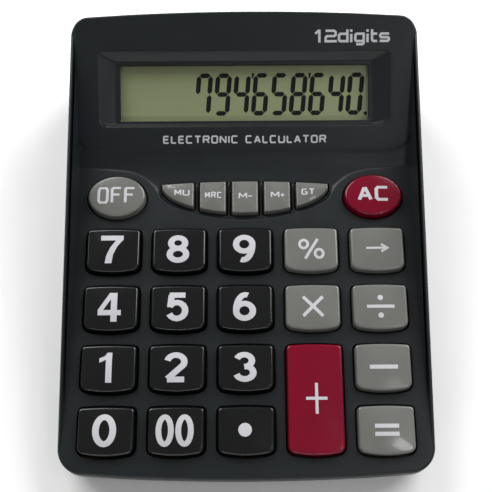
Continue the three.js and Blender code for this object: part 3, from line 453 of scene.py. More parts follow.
def on_panel(x, y):
    """1 on the head's panel, 0 outside it, between the two on its sloping edge."""
    if y < crease_y:
        return 0
    point = Vector((x, y))
    return 1 if inside(point, PANEL_LOOPS[0]) else 0.5 if inside(point, PANEL_LOOPS[1]) else 0


def deck_loop(key, grow):
    return [Vector((key["u"] + p.x, deck_y + (key["v"] + p.y) * math.cos(DECK_SLOPE)))
            for p in grown(key["outline"], grow)]


# ------------------------------------------------------------------ keys
GREY, RED, BLACK = "grey_key", "red_key", "digit_key"
CROWN_INSET = 1.3  # outline of a key to the edge of its crown
MEMORY_INSET = 0.9
ROWS = [
    [("7", "7"), ("8", "8"), ("9", "9"), ("percent", "%"), ("back", ">")],
    [("4", "4"), ("5", "5"), ("6", "6"), ("times", "x"), ("divide", "/")],
    [("1", "1"), ("2", "2"), ("3", "3"), None, ("minus", "-")],
    [("0", "0"), ("00", "00"), ("point", "."), None, ("equals", "=")],
]


def all_keys():
    keys = []

    def add(name, legend, slot, u, v, outline, spread, rise=KEY_RISE):
        keys.append(dict(name="key_" + name, legend=legend, slot=slot, u=u, v=v, outline=outline,
                         spread=spread, rise=rise))

    for row, names in enumerate(ROWS):
        for column, entry in enumerate(names):
            if entry:
                add(*entry, BLACK if column < 3 else GREY, (column - 2) * PITCH_X, (1.5 - row) * PITCH_Y,
                    pad_outline(KEY_DEPTH), pad_spread(KEY_DEPTH))
    tall = KEY_DEPTH + PITCH_Y
    add("plus", "+", RED, PITCH_X, -PITCH_Y, pad_outline(tall), pad_spread(tall))
    add("off", "OFF", GREY, -OVAL_U, OVAL_V, oval_outline(), oval_spread)
    add("ac", "AC", RED, OVAL_U, OVAL_V, oval_outline(), oval_spread)
    tip = MEMORY_HALF - MEMORY_TIP_CUT
    legends = [("mu", "MU"), ("mrc", "MRC"), ("m_minus", "M-"), ("m_plus", "M+"), ("gt", "GT")]
    for index, (name, legend) in enumerate(legends):
        middle_u = (index - 2) * (MEMORY_KEY + MEMORY_GAP)
        start = -tip if index == 0 else middle_u - MEMORY_KEY / 2
        end = tip if index == 4 else middle_u + MEMORY_KEY / 2
        inner = min((start, end), key=abs)
        at = inner + math.copysign(TIP_KEY_MIDDLE, inner) if index in (0, 4) else middle_u
        centre = (at, (lens_top(at) + lens_low(at)) / 2)
        add(name, legend, GREY, centre[0], MEMORY_V + centre[1], lens_slice(start, end, centre),
            lens_spread(start, end, centre), MEMORY_RISE)
    return keys


def cap_height(key, x, y):
    """The crowned top of a key above the deck, at a point measured from the key's middle."""
    across, up = key["spread"](x, y)
    return key["rise"] + CROWN * max(0, 1 - across * across) * max(0, 1 - up * up)


def pad_spread(depth):
    """Where a point lies on a pad, each way from -1 at one edge of the crown to 1 at the other."""
    def spread(x, y):
        curve = (2 * x / KEY_WIDTH) ** 2
        low, high = -depth / 2 + LOW_BOW * curve + CROWN_INSET, depth / 2 - TOP_BOW * curve - CROWN_INSET
        return x / (KEY_WIDTH / 2 - CROWN_INSET), (2 * y - high - low) / (high - low)
    return spread


def oval_spread(x, y):
    """The same for an oval, as one value that grows outwards."""
    return math.hypot(x / (OVAL_RX - CROWN_INSET), y / (OVAL_RY - CROWN_INSET)), 0


def lens_spread(start, end, centre):
    """The same for a slice of the lens, kept off the lens's tips, where it has no depth."""
    def spread(x, y):
        u = min(max(x + centre[0], -MEMORY_HALF + 0.1), MEMORY_HALF - 0.1)
        low, high = lens_low(u) + MEMORY_INSET, lens_top(u) - MEMORY_INSET
        half = max(0.3, (high - low) / 2)
        across = (2 * u - start - end) / (end - start - 2 * MEMORY_INSET)
        return across, (y + centre[1] - (high + low) / 2) / half
    return spread


KEYS = all_keys()


def build_cap(key, edge, wall, roof):
    """A hollow cap with a post: straight skirt, rounded shoulder, then a crown that rises to the middle."""
    outline, rise = key["outline"], key["rise"]
    rim = grown(outline, -KEY_DRAFT - edge)
    levels = [(grown(outline, -wall), rise - roof), (grown(outline, -wall), KEY_LOW), (outline, KEY_LOW)]
    for step in range(SHOULDER_STEPS + 1):
        angle = math.pi / 2 * step / SHOULDER_STEPS
        inset = KEY_DRAFT + edge * (1 - math.cos(angle))
        levels.append((grown(outline, -inset), rise - edge * (1 - math.sin(angle))))
    rings = [[DECK @ Vector((key["u"] + p.x, key["v"] + p.y, w)) for p in ring] for ring, w in levels]
    for step in range(1, CROWN_STEPS):
        share = 1 - step / CROWN_STEPS
        spots = [p * share for p in rim]
        rings.append([DECK @ Vector((key["u"] + p.x, key["v"] + p.y, cap_height(key, *p))) for p in spots])
    vertices, faces = stack(rings)
    count = len(outline)
    faces.append(tuple(reversed(range(count))))
    top = len(vertices)
    vertices.append(DECK @ Vector((key["u"], key["v"], cap_height(key, 0, 0))))
    last = top - count
    faces += [(last + i, last + (i + 1) % count, top) for i in range(count)]
    corners = ((-1, -1), (1, -1), (1, 1), (-1, 1))
    post = filleted([(x * POST_HALF, y * POST_HALF, POST_CORNER) for x, y in corners], 3)
    shape = [(0, rise - roof + POST_SINK), (0, POST_LOW + POST_CHAMFER), (-POST_CHAMFER, POST_LOW)]
    rings = [[DECK @ Vector((key["u"] + p.x, key["v"] + p.y, w)) for p in grown(post, grow)]
             for grow, w in shape]
    start, sides = len(vertices), len(post)
    more, walls = stack(rings)
    vertices += more
    faces += [tuple(start + i for i in reversed(face)) for face in walls]
    faces.append(tuple(range(start, start + sides)))
    faces.append(tuple(reversed(range(len(vertices) - sides, len(vertices)))))
    name, slot = key["name"], key["slot"]
    piece = mesh_object(name + "_cap", vertices, faces, M[slot], name, 50)
    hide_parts(key["name"])
    return piece


for key in KEYS:
    build_cap(key, *(MEMORY_CAP if key["rise"] == MEMORY_RISE else GRID_CAP))


# ------------------------------------------------------------------ printed legends
def arc(cx, cy, rx, ry, start, end, steps=14):
    turns = [math.radians(start + (end - start) * s / steps) for s in range(steps + 1)]
    return [(cx + rx * math.cos(t), cy + ry * math.sin(t)) for t in turns]


def ring(cx, cy, rx, ry):
    return [arc(cx, cy, rx, ry, -5, 185), arc(cx, cy, rx, ry, 175, 365)]


def flipped(strokes):
    return [[(-x, -y) for x, y in stroke] for stroke in strokes]


def squared(left, right, low, high, cut=0.15):
    return [(right - cut, high), (left + cut, high), (left, high - cut), (left, low + cut),
            (left + cut, low), (right - cut, low)]


# Centre lines in a box from -0.5 to 0.5 both ways. The pen's width is added when they are drawn.
SIX = [*ring(0, -0.19, 0.5, 0.31), arc(0.06, -0.19, 0.56, 0.69, 180, 75)]
GLYPHS = {
    "0": ring(0, 0, 0.5, 0.5),
    "2": [arc(0, 0.22, 0.5, 0.28, 170, -30) + [(-0.48, -0.47)], [(-0.5, -0.5), (0.5, -0.5)]],
    "3": [arc(-0.03, 0.25, 0.45, 0.25, 160, -90), arc(0, -0.24, 0.5, 0.26, 90, -165)],
    "5": [[(0.5, 0.5), (-0.45, 0.5)], [(-0.32, 0.5), (-0.4, -0.02)],
          arc(0, -0.16, 0.5, 0.34, 150, -155)],
    "6": SIX,
    "8": ring(0, 0.26, 0.43, 0.24) + ring(0, -0.24, 0.5, 0.26),
    "9": flipped(SIX),
    "A": [[(-0.5, -0.5), (-0.02, 0.5)], [(0.5, -0.5), (0.02, 0.5)], [(-0.32, -0.18), (0.32, -0.18)]],
    "C": [squared(-0.5, 0.62, -0.5, 0.5)],
    "E": [[(-0.5, -0.5), (-0.5, 0.5)], [(-0.5, 0.5), (0.5, 0.5)], [(-0.5, 0.02), (0.4, 0.02)],
          [(-0.5, -0.5), (0.5, -0.5)]],
    "F": [[(-0.5, -0.5), (-0.5, 0.5)], [(-0.5, 0.5), (0.5, 0.5)], [(-0.5, 0.04), (0.36, 0.04)]],
    "G": [squared(-0.5, 0.6, -0.5, 0.5), [(0.5, -0.5), (0.5, -0.02)], [(0.5, -0.02), (0.12, -0.02)]],
    "I": [[(0, -0.5), (0, 0.5)]],
    "L": [[(-0.5, 0.5), (-0.5, -0.5)], [(-0.5, -0.5), (0.5, -0.5)]],
    "M": [[(-0.5, -0.5), (-0.5, 0.5)], [(0.5, -0.5), (0.5, 0.5)], [(-0.48, 0.5), (0, -0.24)],
          [(0.48, 0.5), (0, -0.24)]],
    "N": [[(-0.5, -0.5), (-0.5, 0.5)], [(0.5, -0.5), (0.5, 0.5)], [(-0.5, 0.5), (0.5, -0.5)]],
    "O": [squared(-0.5, 0.3, -0.5, 0.5), [(-0.3, 0.5), (0.35, 0.5), (0.5, 0.35), (0.5, -0.35),
                                          (0.35, -0.5), (-0.3, -0.5)]],
    "R": [[(-0.5, -0.5), (-0.5, 0.5)], [(-0.5, 0.5), (0.35, 0.5), (0.5, 0.36), (0.5, 0.14), (0.35, 0),
                                        (-0.5, 0)], [(0.1, 0), (0.5, -0.5)]],
    "T": [[(0, -0.5), (0, 0.5)], [(-0.5, 0.5), (0.5, 0.5)]],
    "U": [[(-0.5, 0.5), (-0.5, -0.36), (-0.36, -0.5), (0.36, -0.5), (0.5, -0.36), (0.5, 0.5)]],
    "-": [[(-0.5, 0), (0.5, 0)]],
    "+": [[(-0.5, 0), (0.5, 0)], [(0, -0.5), (0, 0.5)]],
    "x": [[(-0.5, -0.5), (0.5, 0.5)], [(-0.5, 0.5), (0.5, -0.5)]],
    "=": [[(-0.5, 0.5), (0.5, 0.5)], [(-0.5, -0.5), (0.5, -0.5)]],
    ">": [[(-0.5, 0), (0.42, 0)], [(0.2, 0.5), (0.5, 0), (0.2, -0.5)]],
}


# Solid parts of the straight-edged numbers, as shares of the character's width and height.
SOLID = {
    "1": [[(0.45, 0), (0.71, 0), (0.71, 1), (0.51, 1), (0.45, 0.92)],
          [(0.17, 0.66), (0.45, 0.76), (0.52, 0.8), (0.51, 1), (0.4, 0.88), (0.17, 0.81)]],
    "4": [[(0.56, 0), (0.83, 0), (0.83, 1), (0.56, 1)], [(0, 0.22), (1, 0.22), (1, 0.4), (0, 0.4)],
          [(0, 0.4), (0.23, 0.4), (0.58, 0.8), (0.58, 1), (0.5, 1)]],
    "7": [[(0, 0.82), (1, 0.82), (1, 1), (0, 1)],
          [(0.2, 0), (0.5, 0), (0.56, 0.3), (0.72, 0.58), (1, 0.86), (0.68, 0.83), (0.42, 0.55),
           (0.26, 0.27)]],
}


def pen(stroke, width, low_width):
    """A stroke's outline. Level runs are low_width thick, upright runs width thick."""
    squash = low_width / width
    points = [Vector((x, y / squash)) for x, y in stroke]
    left, right = [], []
    for index, point in enumerate(points):
        before = points[max(0, index - 1)]
        after = points[min(len(points) - 1, index + 1)]
        first = (point - before).normalized() if index else (after - point).normalized()
        second = (after - point).normalized() if index < len(points) - 1 else first
        normal = Vector((-first.y - second.y, first.x + second.x)).normalized()
        reach = width / 2 / max(0.6, normal.dot(Vector((-first.y, first.x))))
        left.append(point + normal * reach)
        right.append(point - normal * reach)
    outline = right + left[::-1]
    return [Vector((p.x, p.y * squash)) for p in outline]


def glyph(char, x, y, width, height, thick, thin=None):
    """The outlines of a character whose overall size, pen included, is width by height."""
    if char in SOLID:
        return [[Vector((x + (px - 0.5) * width, y + (py - 0.5) * height)) for px, py in part]
                for part in SOLID[char]]
    thin = thin or thick
    across, up = width - thick, height - thin
    return [pen([(x + px * across, y + py * up) for px, py in stroke], thick, thin)
            for stroke in GLYPHS[char]]


def disc(x, y, radius, sides=28):
    turns = [2 * math.pi * s / sides for s in range(sides)]
    return [Vector((x + radius * math.cos(t), y + radius * math.sin(t))) for t in turns]


def row_of(text, x, y, width, height, thick, gap, thin=None):
    """Characters side by side, the whole row being width wide and centred on x."""
    each = (width - gap * (len(text) - 1)) / len(text)
    first = x - width / 2 + each / 2
    return [outline for i, c in enumerate(text)
            for outline in glyph(c, first + i * (each + gap), y, each, height, thick, thin)]


def percent_sign():
    rings = []
    for side, cx, cy in ((-1, -3.1, 2.0), (1, 3.1, -2.0)):
        for half in ring(cx, cy, 1.65, 1.75):
            rings.append(pen(half, 1.15, 1.1))
    return rings + [pen([(-2.6, -4.2), (2.6, 4.2)], 1.15, 1.15)]


def legend_outlines(key):
    """The outlines of a key's legend. Each has a place, a width, a height, and then its pens and gaps."""
    text = key["legend"]
    if text.isdigit() and len(text) == 1:
        return glyph(text, -0.4, 0.3, 9.2, 12.4 if text == "0" else 11.8, 2.55, 2.2)
    special = {
        "00": lambda: row_of("00", -0.4, 0.2, 14.6, 12.2, 2.2, 0.6, 1.9),
        ".": lambda: [disc(-0.4, 0.3, 2.6)],
        "%": percent_sign,
        "/": lambda: [pen([(-5.5, 0), (5.5, 0)], 1.3, 1.3), *(disc(0, y, 1.1) for y in (3.6, -3.6))],
        "x": lambda: glyph("x", 0, 0.2, 9.2, 9.2, 1.3),
        ">": lambda: glyph(">", -0.3, 0.2, 9.6, 4.0, 0.9),
        "-": lambda: [pen([(-5.5, 0), (5.5, 0)], 1.6, 1.6)],
        "+": lambda: glyph("+", 0.4, 0, 9.4, 13, 1.15),
        "=": lambda: glyph("=", 0, 0, 10.8, 4.6, 1.55),
        "OFF": lambda: row_of("OFF", 0, 0.2, 15.8, 7.3, 1.15, 0.8, 0.95),
        "AC": lambda: row_of("AC", 0, 0.3, 13.4, 6.6, 1.45, 0.9, 1.2),
        "MU": lambda: row_of("MU", -1.1, 0.3, 6.4, 2.8, 0.66, 0.5, 0.5),
        "MRC": lambda: row_of("MRC", 0.3, 0.3, 7.2, 2.8, 0.56, 0.4, 0.5),
        "M-": lambda: glyph("M", -0.85, 0.3, 3.6, 2.8, 0.62, 0.5) + glyph("-", 2.2, 0.1, 2.1, 0.5, 0.5),
        "M+": lambda: glyph("M", -0.85, 0.3, 3.6, 2.8, 0.62, 0.5) + glyph("+", 2.2, 0.1, 2.1, 2.0, 0.5),
        "GT": lambda: row_of("GT", 1.2, 0.3, 5.6, 2.8, 0.66, 0.5, 0.5),
    }
    return special[text]()


PRINT_SUNK = 0.05  # how far the underside of a print lies below the surface


def printed(name, outlines, place, material, body, proud=0.035, grid=0.9):
    """A thin closed layer of print over the union of some outlines, which follows a curved surface."""
    outlines = [divided(outline, grid) for outline in outlines]
    corners = [p for outline in outlines for p in outline]
    low = Vector((min(p.x for p in corners), min(p.y for p in corners)))
    high = Vector((max(p.x for p in corners), max(p.y for p in corners)))
    width, height = high.x - low.x, high.y - low.y
    across, up = max(1, int(width / grid)), max(1, int(height / grid))
    # A dot is off the middle of its cell, which keeps it off the outlines' lines of symmetry.
    dots = [Vector((low.x + width * (i + 0.47) / across, low.y + height * (j + 0.53) / up))
            for i in range(across) for j in range(up)]
    flat, every, _ = cdt(outlines, dots)
    triangles = []
    for triangle in every:
        centre = sum((flat[i] for i in triangle), Vector((0, 0))) / 3
        if any(inside(centre, outline) for outline in outlines):
            triangles.append(triangle)
    used = sorted({i for t in triangles for i in t})
    index = {old: new for new, old in enumerate(used)}
    triangles = [tuple(index[i] for i in t) for t in triangles]
    count = len(used)
    vertices = [place(flat[i].x, flat[i].y, h) for h in (proud, -PRINT_SUNK) for i in used]
    edges = {}
    for a, b, c in triangles:
        for edge in ((a, b), (b, c), (c, a)):
            edges[edge] = edges.get(edge, 0) + 1
    shell = list(triangles) + [(c + count, b + count, a + count) for a, b, c in triangles]
    shell += [(b, a, a + count, b + count) for a, b in edges if (b, a) not in edges]
    return mesh_object(name, vertices, shell, material, body, 30)


def on_key(key):
    def place(x, y, h):
        return DECK @ Vector((key["u"] + x, key["v"] + y, cap_height(key, x, y) + h))
    return place


for key in KEYS:
    printed(key["name"] + "_print", legend_outlines(key), on_key(key), M["print"], key["name"])


# ------------------------------------------------------------------ top case
EDGE_RADIUS = 1.1
RIM_STEPS = 6
# Spacing of the surface's loose points near the crease and elsewhere, and how near that is.
FINE, COARSE, CREASE_REACH = 1.0, 2.5, 12


def top_case():
    """The corners and faces of the shell: an outer skin, an inner skin and the walls that join them."""
    levels = []
    for step in range(RIM_STEPS + 1):
        angle = math.pi / 2 * step / RIM_STEPS
        levels.append((EDGE_RADIUS * (1 - math.sin(angle)), EDGE_RADIUS * (1 - math.cos(angle))))
    vertices, faces = [], []

    def build(loops, extra, height, flip):
        """One skin. Loops are (points, (kind, depth)): the first is the border, and a rim bounds a hole."""
        flat, triangles, origin = cdt([points for points, _ in loops], extra)
        start = len(vertices)
        spots = [p for points, _ in loops for p in points]
        drops = [drop for points, drop in loops for _ in points]
        lookup = {}
        for new, sources in enumerate(origin):
            point = flat[new]
            down = next((drops[s] for s in sources if s < len(drops)), None)
            vertices.append(height(point.x, point.y, down))
            for source in sources:
                lookup[source] = start + new
        border = loops[0][0]
        hole_rims = [points for points, drop in loops if drop[0] == "rim"]
        for triangle in triangles:
            centre = sum((flat[i] for i in triangle), Vector((0, 0))) / 3
            if not inside(centre, border) or any(inside(centre, hole) for hole in hole_rims):
                continue
            face = tuple(start + i for i in triangle)
            faces.append(face[::-1] if flip else face)
        offsets, total = [], 0
        for points, _ in loops:
            offsets.append(total)
            total += len(points)
        return [[lookup[offset + i] for i in range(len(points))]
                for offset, (points, _) in zip(offsets, loops)]

    def on_top(x, y, down):
        point = Vector((x, y, surface(x, y)))
        if down is None:
            return point
        kind, depth = down
        if kind == "edge":
            return point - Vector((0, 0, depth))
        return point - (HEAD_NORMAL if y > crease_y else DECK_NORMAL) * depth

    outer_loops = [(case_outline(inset), ("edge", drop)) for inset, drop in reversed(levels)]
    rims = []
    for key in KEYS:
        outer_loops.append((deck_loop(key, KEY_CLEARANCE + LIP), ("fold", 0)))
        outer_loops.append((deck_loop(key, KEY_CLEARANCE + LIP_TURN), ("fold", LIP_TURN)))
        rims.append(len(outer_loops))
        outer_loops.append((deck_loop(key, KEY_CLEARANCE), ("rim", LIP_DEPTH)))
    # Each line: a rectangle, its front and back corner radii, how far it is grown, and its depth.
    bezel_profile = [
        (BEZEL, (3.4, 1.9), 0.4, 0), (BEZEL, (3.2, 1.6), 0, 0.12), (BEZEL, (3, 1.4), -0.35, 0.45),
        (LAND, (1.2, 1), 0.25, BEZEL_DEPTH - 0.25), (LAND, (1, 0.8), -0.2, BEZEL_DEPTH),
        (WINDOW, (0.9, 0.9), 0.25, BEZEL_DEPTH),
    ]
    for size, radii, grow, depth in bezel_profile:
        outer_loops.append((head_rect(size, radii, grow), ("fold", depth)))
    rims.append(len(outer_loops))
    outer_loops.append((head_rect(WINDOW, (0.7, 0.7)), ("rim", BEZEL_DEPTH + 0.25)))

    # Loose points: rows along the apron's edge and the panel's, and a grid over the rest.
    border = case_outline(EDGE_RADIUS + 0.5)
    blocked = [deck_loop(key, KEY_CLEARANCE + 0.75) for key in KEYS]
    blocked.append(head_rect(BEZEL, (3.6, 2), 0.6))
    boxes = [(min(p.x for p in loop), max(p.x for p in loop), min(p.y for p in loop), max(p.y for p in loop))
             for loop in blocked]

    def free(point):
        if not inside(point, border):
            return False
        for (left, right, low, high), loop in zip(boxes, blocked):
            if left <= point.x <= right and low <= point.y <= high and inside(point, loop):
                return False
        return True

    extra = []
    for distance in (-0.5, -0.25, 0, 0.2, 0.4, 0.65, 0.9, 1.1, STEP_WIDTH, 1.6):
        extra += edge_offset(distance)
    for loop in PANEL_LOOPS:
        extra += divided(loop, FINE)
    y = front_y
    while y < back_y:
        pitch = FINE if abs(y - crease_y) < CREASE_REACH else COARSE
        for column in range(-int(HALF_WIDTH / pitch), int(HALF_WIDTH / pitch) + 1):
            x = column * pitch
            distance = past_edge(x, y)
            by_panel = y > crease_y and on_panel(x, y + 0.8) != on_panel(x, y - 0.8)
            if -1.0 < distance < 2.0 or by_panel:
                continue
            extra.append(Vector((x, y)))
        y += pitch
    extra = [p for p in extra if free(p)]
    top = build(outer_loops, extra, on_top, False)

    def on_inner(x, y, down):
        point = on_top(x, y, None)
        depth = WALL if down is None or down[0] == "edge" else down[1]
        return point - (HEAD_NORMAL if y > crease_y else DECK_NORMAL) * depth

    inner_loops = [(case_outline(WALL), ("edge", 0))]
    inner_rims = []
    for key in KEYS:
        inner_rims.append(len(inner_loops))
        inner_loops.append((deck_loop(key, KEY_CLEARANCE), ("rim", WALL)))
    frame_depth = BEZEL_DEPTH + FRAME_DEPTH
    inner_loops.append((head_rect(BEZEL, (3, 3), WALL), ("fold", WALL)))
    inner_loops.append((head_rect(BEZEL, (3, 3), WALL - 0.3), ("fold", frame_depth)))
    inner_rims.append(len(inner_loops))
    inner_loops.append((head_rect(WINDOW, (0.7, 0.7)), ("rim", frame_depth)))
    inner_extra = [p for p in extra if inside(p, case_outline(WALL + 0.8)) and abs(p.y - crease_y) < 16]
    under = build(inner_loops, inner_extra, on_inner, True)

    def bridge(first, second):
        count = len(first)
        for i in range(count):
            j = (i + 1) % count
            faces.append((first[j], first[i], second[i], second[j]))

    def new_ring(points, height):
        start = len(vertices)
        vertices.extend(Vector((p.x, p.y, height(p.y))) for p in points)
        return list(range(start, start + len(points)))

    def parting(y):
        return deck_plane(y) - SKIRT

    skirt = new_ring(case_outline(0), parting)
    inner_skirt = new_ring(case_outline(WALL), parting)
    bridge(top[0], skirt)
    bridge(skirt, inner_skirt)
    bridge(inner_skirt, under[0])
    for outer_index, inner_index in zip(rims, inner_rims):
        bridge(under[inner_index], top[outer_index])
    return vertices, faces


case_vertices, case_faces = top_case()
shell = mesh_object("top_case_shell", case_vertices, case_faces, M["case"], "casing", 40)
weighted(shell)
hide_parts("top_case")


# ------------------------------------------------------------------ display
def on_head(u, s, n):
    return HEAD @ Vector((u, s, n))


def segment_digit(char, x, y, width, height, thick, slant):
    """A seven-segment digit centred on x, y."""
    on = {"7": "abcf", "9": "abcdfg", "4": "bcfg", "6": "acdefg", "5": "acdfg", "8": "abcdefg", "0": "abcdef"}
    half, up, cut, gap = width / 2, height / 2, thick / 2, 0.14
    bars = {"a": (up - cut, "across"), "g": (0, "across"), "d": (cut - up, "across"),
            "b": (half - cut, 1), "c": (half - cut, -1), "f": (cut - half, 1), "e": (cut - half, -1)}
    outlines = []
    for name in on[char]:
        at, way = bars[name]
        if way == "across":
            ends = half - cut - gap
            shape = [(-ends, at), (cut - ends, at - cut), (ends - cut, at - cut), (ends, at),
                     (ends - cut, at + cut), (cut - ends, at + cut)]
        else:
            near, far = way * gap, way * (up - cut - gap)
            shape = [(at, near), (at + cut, near + way * cut), (at + cut, far - way * cut), (at, far),
                     (at - cut, far - way * cut), (at - cut, near + way * cut)]
            shape = shape if way > 0 else shape[::-1]
        outlines.append([Vector((x + px + slant * py, y + py)) for px, py in shape])
    return outlines


def display_number():
    pitch, height, width, thick = 8.04, 17.8, 6.9, 1.95
    slant = math.tan(math.radians(5))
    y = (WINDOW["low"] + WINDOW["high"]) / 2 - 0.3
    right = WINDOW["x"] - 5.3
    shapes = []
    for place, char in enumerate(reversed("794658640")):
        shapes += segment_digit(char, right - place * pitch, y, width, height, thick, slant)
    foot = y - height / 2
    shapes.append(disc(right + width / 2 + 1.0, foot + 0.7, 0.75, 16))
    for place in (5, 2):
        x = right - (place + 0.5) * pitch + slant * height / 2
        top = y + height / 2
        shapes.append([Vector((x - 0.4, top - 2.2)), Vector((x + 0.2, top - 2.2)), Vector((x + 0.75, top)),
                       Vector((x - 0.35, top))])
    return shapes


printed("lcd_number", display_number(), lambda x, y, h: on_head(x, y, LCD_TOP + h), M["segment"],
        "casing", 0.02, 3)


# ------------------------------------------------------------------ generic words on the head
def on_case(x, s, h):
    """A point on the head's face, s up the slope and h proud of it."""
    y = crease_y + s * math.cos(HEAD_SLOPE)
    return Vector((x, y, surface(x, y))) + HEAD_NORMAL * h


def line_of_capitals(text, left, right, low, height, thick, gap):
    """Capitals spread between two sides, an I being narrower than the rest and a space half as wide."""
    share = {"I": 0.25, " ": 0.62, "L": 0.85, "E": 0.9}
    total = sum(share.get(c, 1) for c in text)
    unit = (right - left - gap * (len(text) - 1)) / total
    outlines, x = [], left
    for char in text:
        width = unit * share.get(char, 1)
        if char != " ":
            outlines += glyph(char, x + width / 2, low + height / 2, width, height, thick)
        x += width + gap
    return outlines


def digits_word(left, low):
    """The words 12 digits, squared and upright, in millimetres from their lower left corner."""
    wide, tall, middle, tail = 1.0, 4.3, 3.0, -1.3
    dot = [(0, tall + wide / 2), (0, tall - wide / 2)]
    stem = [(0, middle), (0, -wide / 2)]
    bowl = [(3.3, middle), (0.5, middle), (0, middle - 0.5), (0, 0.5), (0.5, 0), (3.3, 0)]
    letters = {
        0.3: [[(0, tall - 1.2), (1.3, tall), (1.7, tall), (1.7, -wide / 2)]],
        4.6: [[(0, tall), (3.6, tall), (4.2, tall - 0.6), (4.2, 2.6), (3.6, 2.1), (0.6, 2.1), (0, 1.5),
               (0, 0)],
              [(-wide / 2, 0), (4.7, 0)]],
        10.2: [bowl, [(3.5, tall + wide / 2), (3.5, -wide / 2)]],
        15.3: [stem, dot],
        17.0: [bowl, [(3.5, middle + wide / 2), (3.5, tail + 0.5), (3.0, tail), (0.4, tail)]],
        22.1: [stem, dot],
        24.0: [[(0, tall + wide / 2), (0, 0.5), (0.5, 0), (2.1, 0)], [(-0.6, middle), (2.1, middle)]],
        27.4: [[(3.7, middle), (0.5, middle), (0, middle - 0.5), (0, 1.9), (0.4, 1.5), (3.2, 1.5), (3.6, 1.1),
                (3.6, 0.5), (3.1, 0), (-0.2, 0)]],
    }
    return [pen([(left + at + px, low + py) for px, py in stroke], wide, wide)
            for at, strokes in letters.items() for stroke in strokes]


printed("words_kind", line_of_capitals("ELECTRONIC CALCULATOR", -34.4, 34.4, 10.2, 3.4, 0.66, 0.62), on_case,
        M["case_print"], "casing", 0.03, 1.5)
printed("words_digits", digits_word(29.5, 52.4), on_case, M["case_print"], "casing", 0.03, 1.5)


# ------------------------------------------------------------------ turned pieces: feet
def lathe(name, profile, centre, material, body, node, sides=48):
    rings = [[Vector((centre.x / MM + r * math.cos(2 * math.pi * s / sides),
                      centre.y / MM + r * math.sin(2 * math.pi * s / sides), z)) for s in range(sides)]
             for r, z in profile]
    vertices, faces = stack(rings)
    faces.append(tuple(reversed(range(sides))))
    faces.append(tuple(range(len(vertices) - sides, len(vertices))))
    piece = mesh_object(name, vertices, faces, material, body, 40)
    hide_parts(node)
    return piece


FOOT_EDGE = 0.9  # radius of the rounded lower edge

for node in sorted(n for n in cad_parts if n.startswith("foot_")):
    low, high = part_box(node)
    radius, top = (high.x - low.x) / 2 / MM, high.z / MM
    turns = [math.pi / 2 * step / 6 for step in range(7)]
    edge = [(radius - FOOT_EDGE + FOOT_EDGE * math.sin(t), FOOT_EDGE - FOOT_EDGE * math.cos(t))
            for t in turns]
    lathe(node + "_pad", edge + [(radius, top)], (low + high) / 2, M["foot"], "casing", node)


# ------------------------------------------------------------------ softened copies of CAD pieces
def softened(node, suffix, material, body, bevel):
    """A copy of a CAD piece with its corners rounded and its curved faces shaded smooth."""
    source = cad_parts[node]
    mesh = source.data.copy()
    mesh.materials.clear()
    mesh.materials.append(M[material])
    piece = bpy.data.objects.new(node + suffix, mesh)
    bpy.context.scene.collection.objects.link(piece)
    piece.matrix_world = source.matrix_world.copy()
    weld = piece.modifiers.new("weld", "WELD")
    weld.merge_threshold = 0.001 * MM
    round_edges = piece.modifiers.new("rounded_edges", "BEVEL")
    round_edges.width = bevel * MM
    round_edges.segments = 2
    round_edges.limit_method = "ANGLE"
    round_edges.angle_limit = math.radians(35)
    round_edges.harden_normals = True
    mesh.shade_smooth()
    mesh.set_sharp_from_angle(angle=math.radians(35))
    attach(piece, body)
    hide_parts(node)
    return weighted(piece)


softened("bottom_case", "_shell", "case", "casing", 0.35)
softened("battery_cover", "_shell", "case", "battery_cover", 0.25)


# ------------------------------------------------------------------ CAD pieces that are kept
# The rest, which are the screws, are metal.
FINISH = {
    "display_window": "window", "lcd_panel": "lcd",
    "lcd_reflector": "reflector", "lcd_holder": "holder", "lcd_ribbon": "ribbon", "rubber_keypad": "rubber",
    "main_board": "board", "chip_cover": "epoxy", "capacitor": "epoxy", "aa_cell": "cell",
    "battery_spring": "metal", "battery_contact": "metal", "battery_lead_red": "red_wire",
    "battery_lead_black": "black_wire",
}
for name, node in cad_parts.items():
    if node.hide_render:
        continue
    finish = FINISH.get(name, "metal")
    node.data.materials.clear()
    node.data.materials.append(M[finish])


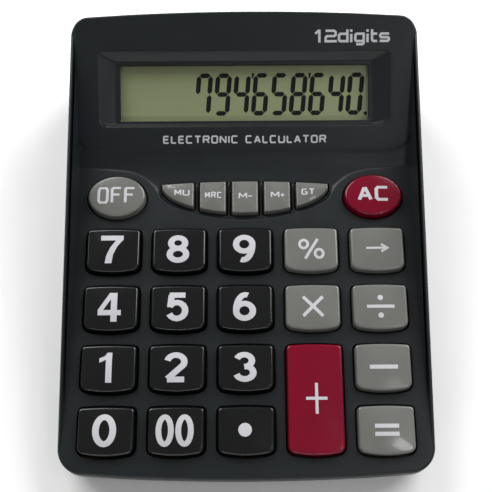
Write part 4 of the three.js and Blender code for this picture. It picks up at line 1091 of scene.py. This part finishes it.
# ------------------------------------------------------------------ camera, light and floor
# The camera over the deck, as fitted to the grid of keys in the photograph.
LENS = 65.85
CAMERA_EYE = Vector((1.2, -75.9, 351.5))
CAMERA_TURN = Euler((-0.31544, -0.00237, 0.00629), "XYZ").to_matrix().transposed()
ROOM_LIGHT = 0.22
FLOOR_REACH = 3.0  # metres


def studio():
    bpy.context.scene.view_settings.view_transform = "Standard"
    camera_data = bpy.data.cameras.new("camera")
    camera_data.sensor_width = 36
    camera_data.lens = LENS
    camera = bpy.data.objects.new("camera", camera_data)
    bpy.context.scene.collection.objects.link(camera)
    place = DECK @ Matrix.LocRotScale(CAMERA_EYE, CAMERA_TURN, None)
    place.translation *= MM
    camera.matrix_world = place
    bpy.context.scene.camera = camera

    def softbox(name, at, target, size, power):
        light = bpy.data.lights.new(name, "AREA")
        light.shape, light.size, light.size_y, light.energy = "RECTANGLE", size[0], size[1], power
        lamp = bpy.data.objects.new(name, light)
        lamp.location = at
        lamp.rotation_euler = (Vector(target) - Vector(at)).to_track_quat("-Z", "Y").to_euler()
        bpy.context.scene.collection.objects.link(lamp)

    softbox("left_light", (-0.6, 0.7, 0.6), (0, 0, 0), (0.9, 0.7), 13)
    softbox("right_light", (0.7, 0.6, 0.6), (0, 0, 0), (0.9, 0.7), 14)
    softbox("front_light", (0, -0.8, 0.42), (0, 0, 0), (0.9, 0.08), 1.7)
    softbox("glint_light", (0.2, -0.135, 0.52), (0.05, -0.03, 0), (0.1, 0.06), 0.16)
    world = bpy.data.worlds.new("room")
    world.use_nodes = True
    world.node_tree.nodes["Background"].inputs["Color"].default_value = (1, 1, 1, 1)
    world.node_tree.nodes["Background"].inputs["Strength"].default_value = ROOM_LIGHT
    bpy.context.scene.world = world

    mesh = bpy.data.meshes.new("floor")
    corners = ((-1, -1), (1, -1), (1, 1), (-1, 1))
    mesh.from_pydata([(x * FLOOR_REACH, y * FLOOR_REACH, 0) for x, y in corners], [], [(0, 1, 2, 3)])
    mesh.materials.append(plastic("floor", [0.9, 0.9, 0.9], 0.8, grain=4, bump=0.02, variation=0.01))
    floor = bpy.data.objects.new("floor", mesh)
    bpy.context.scene.collection.objects.link(floor)


studio()
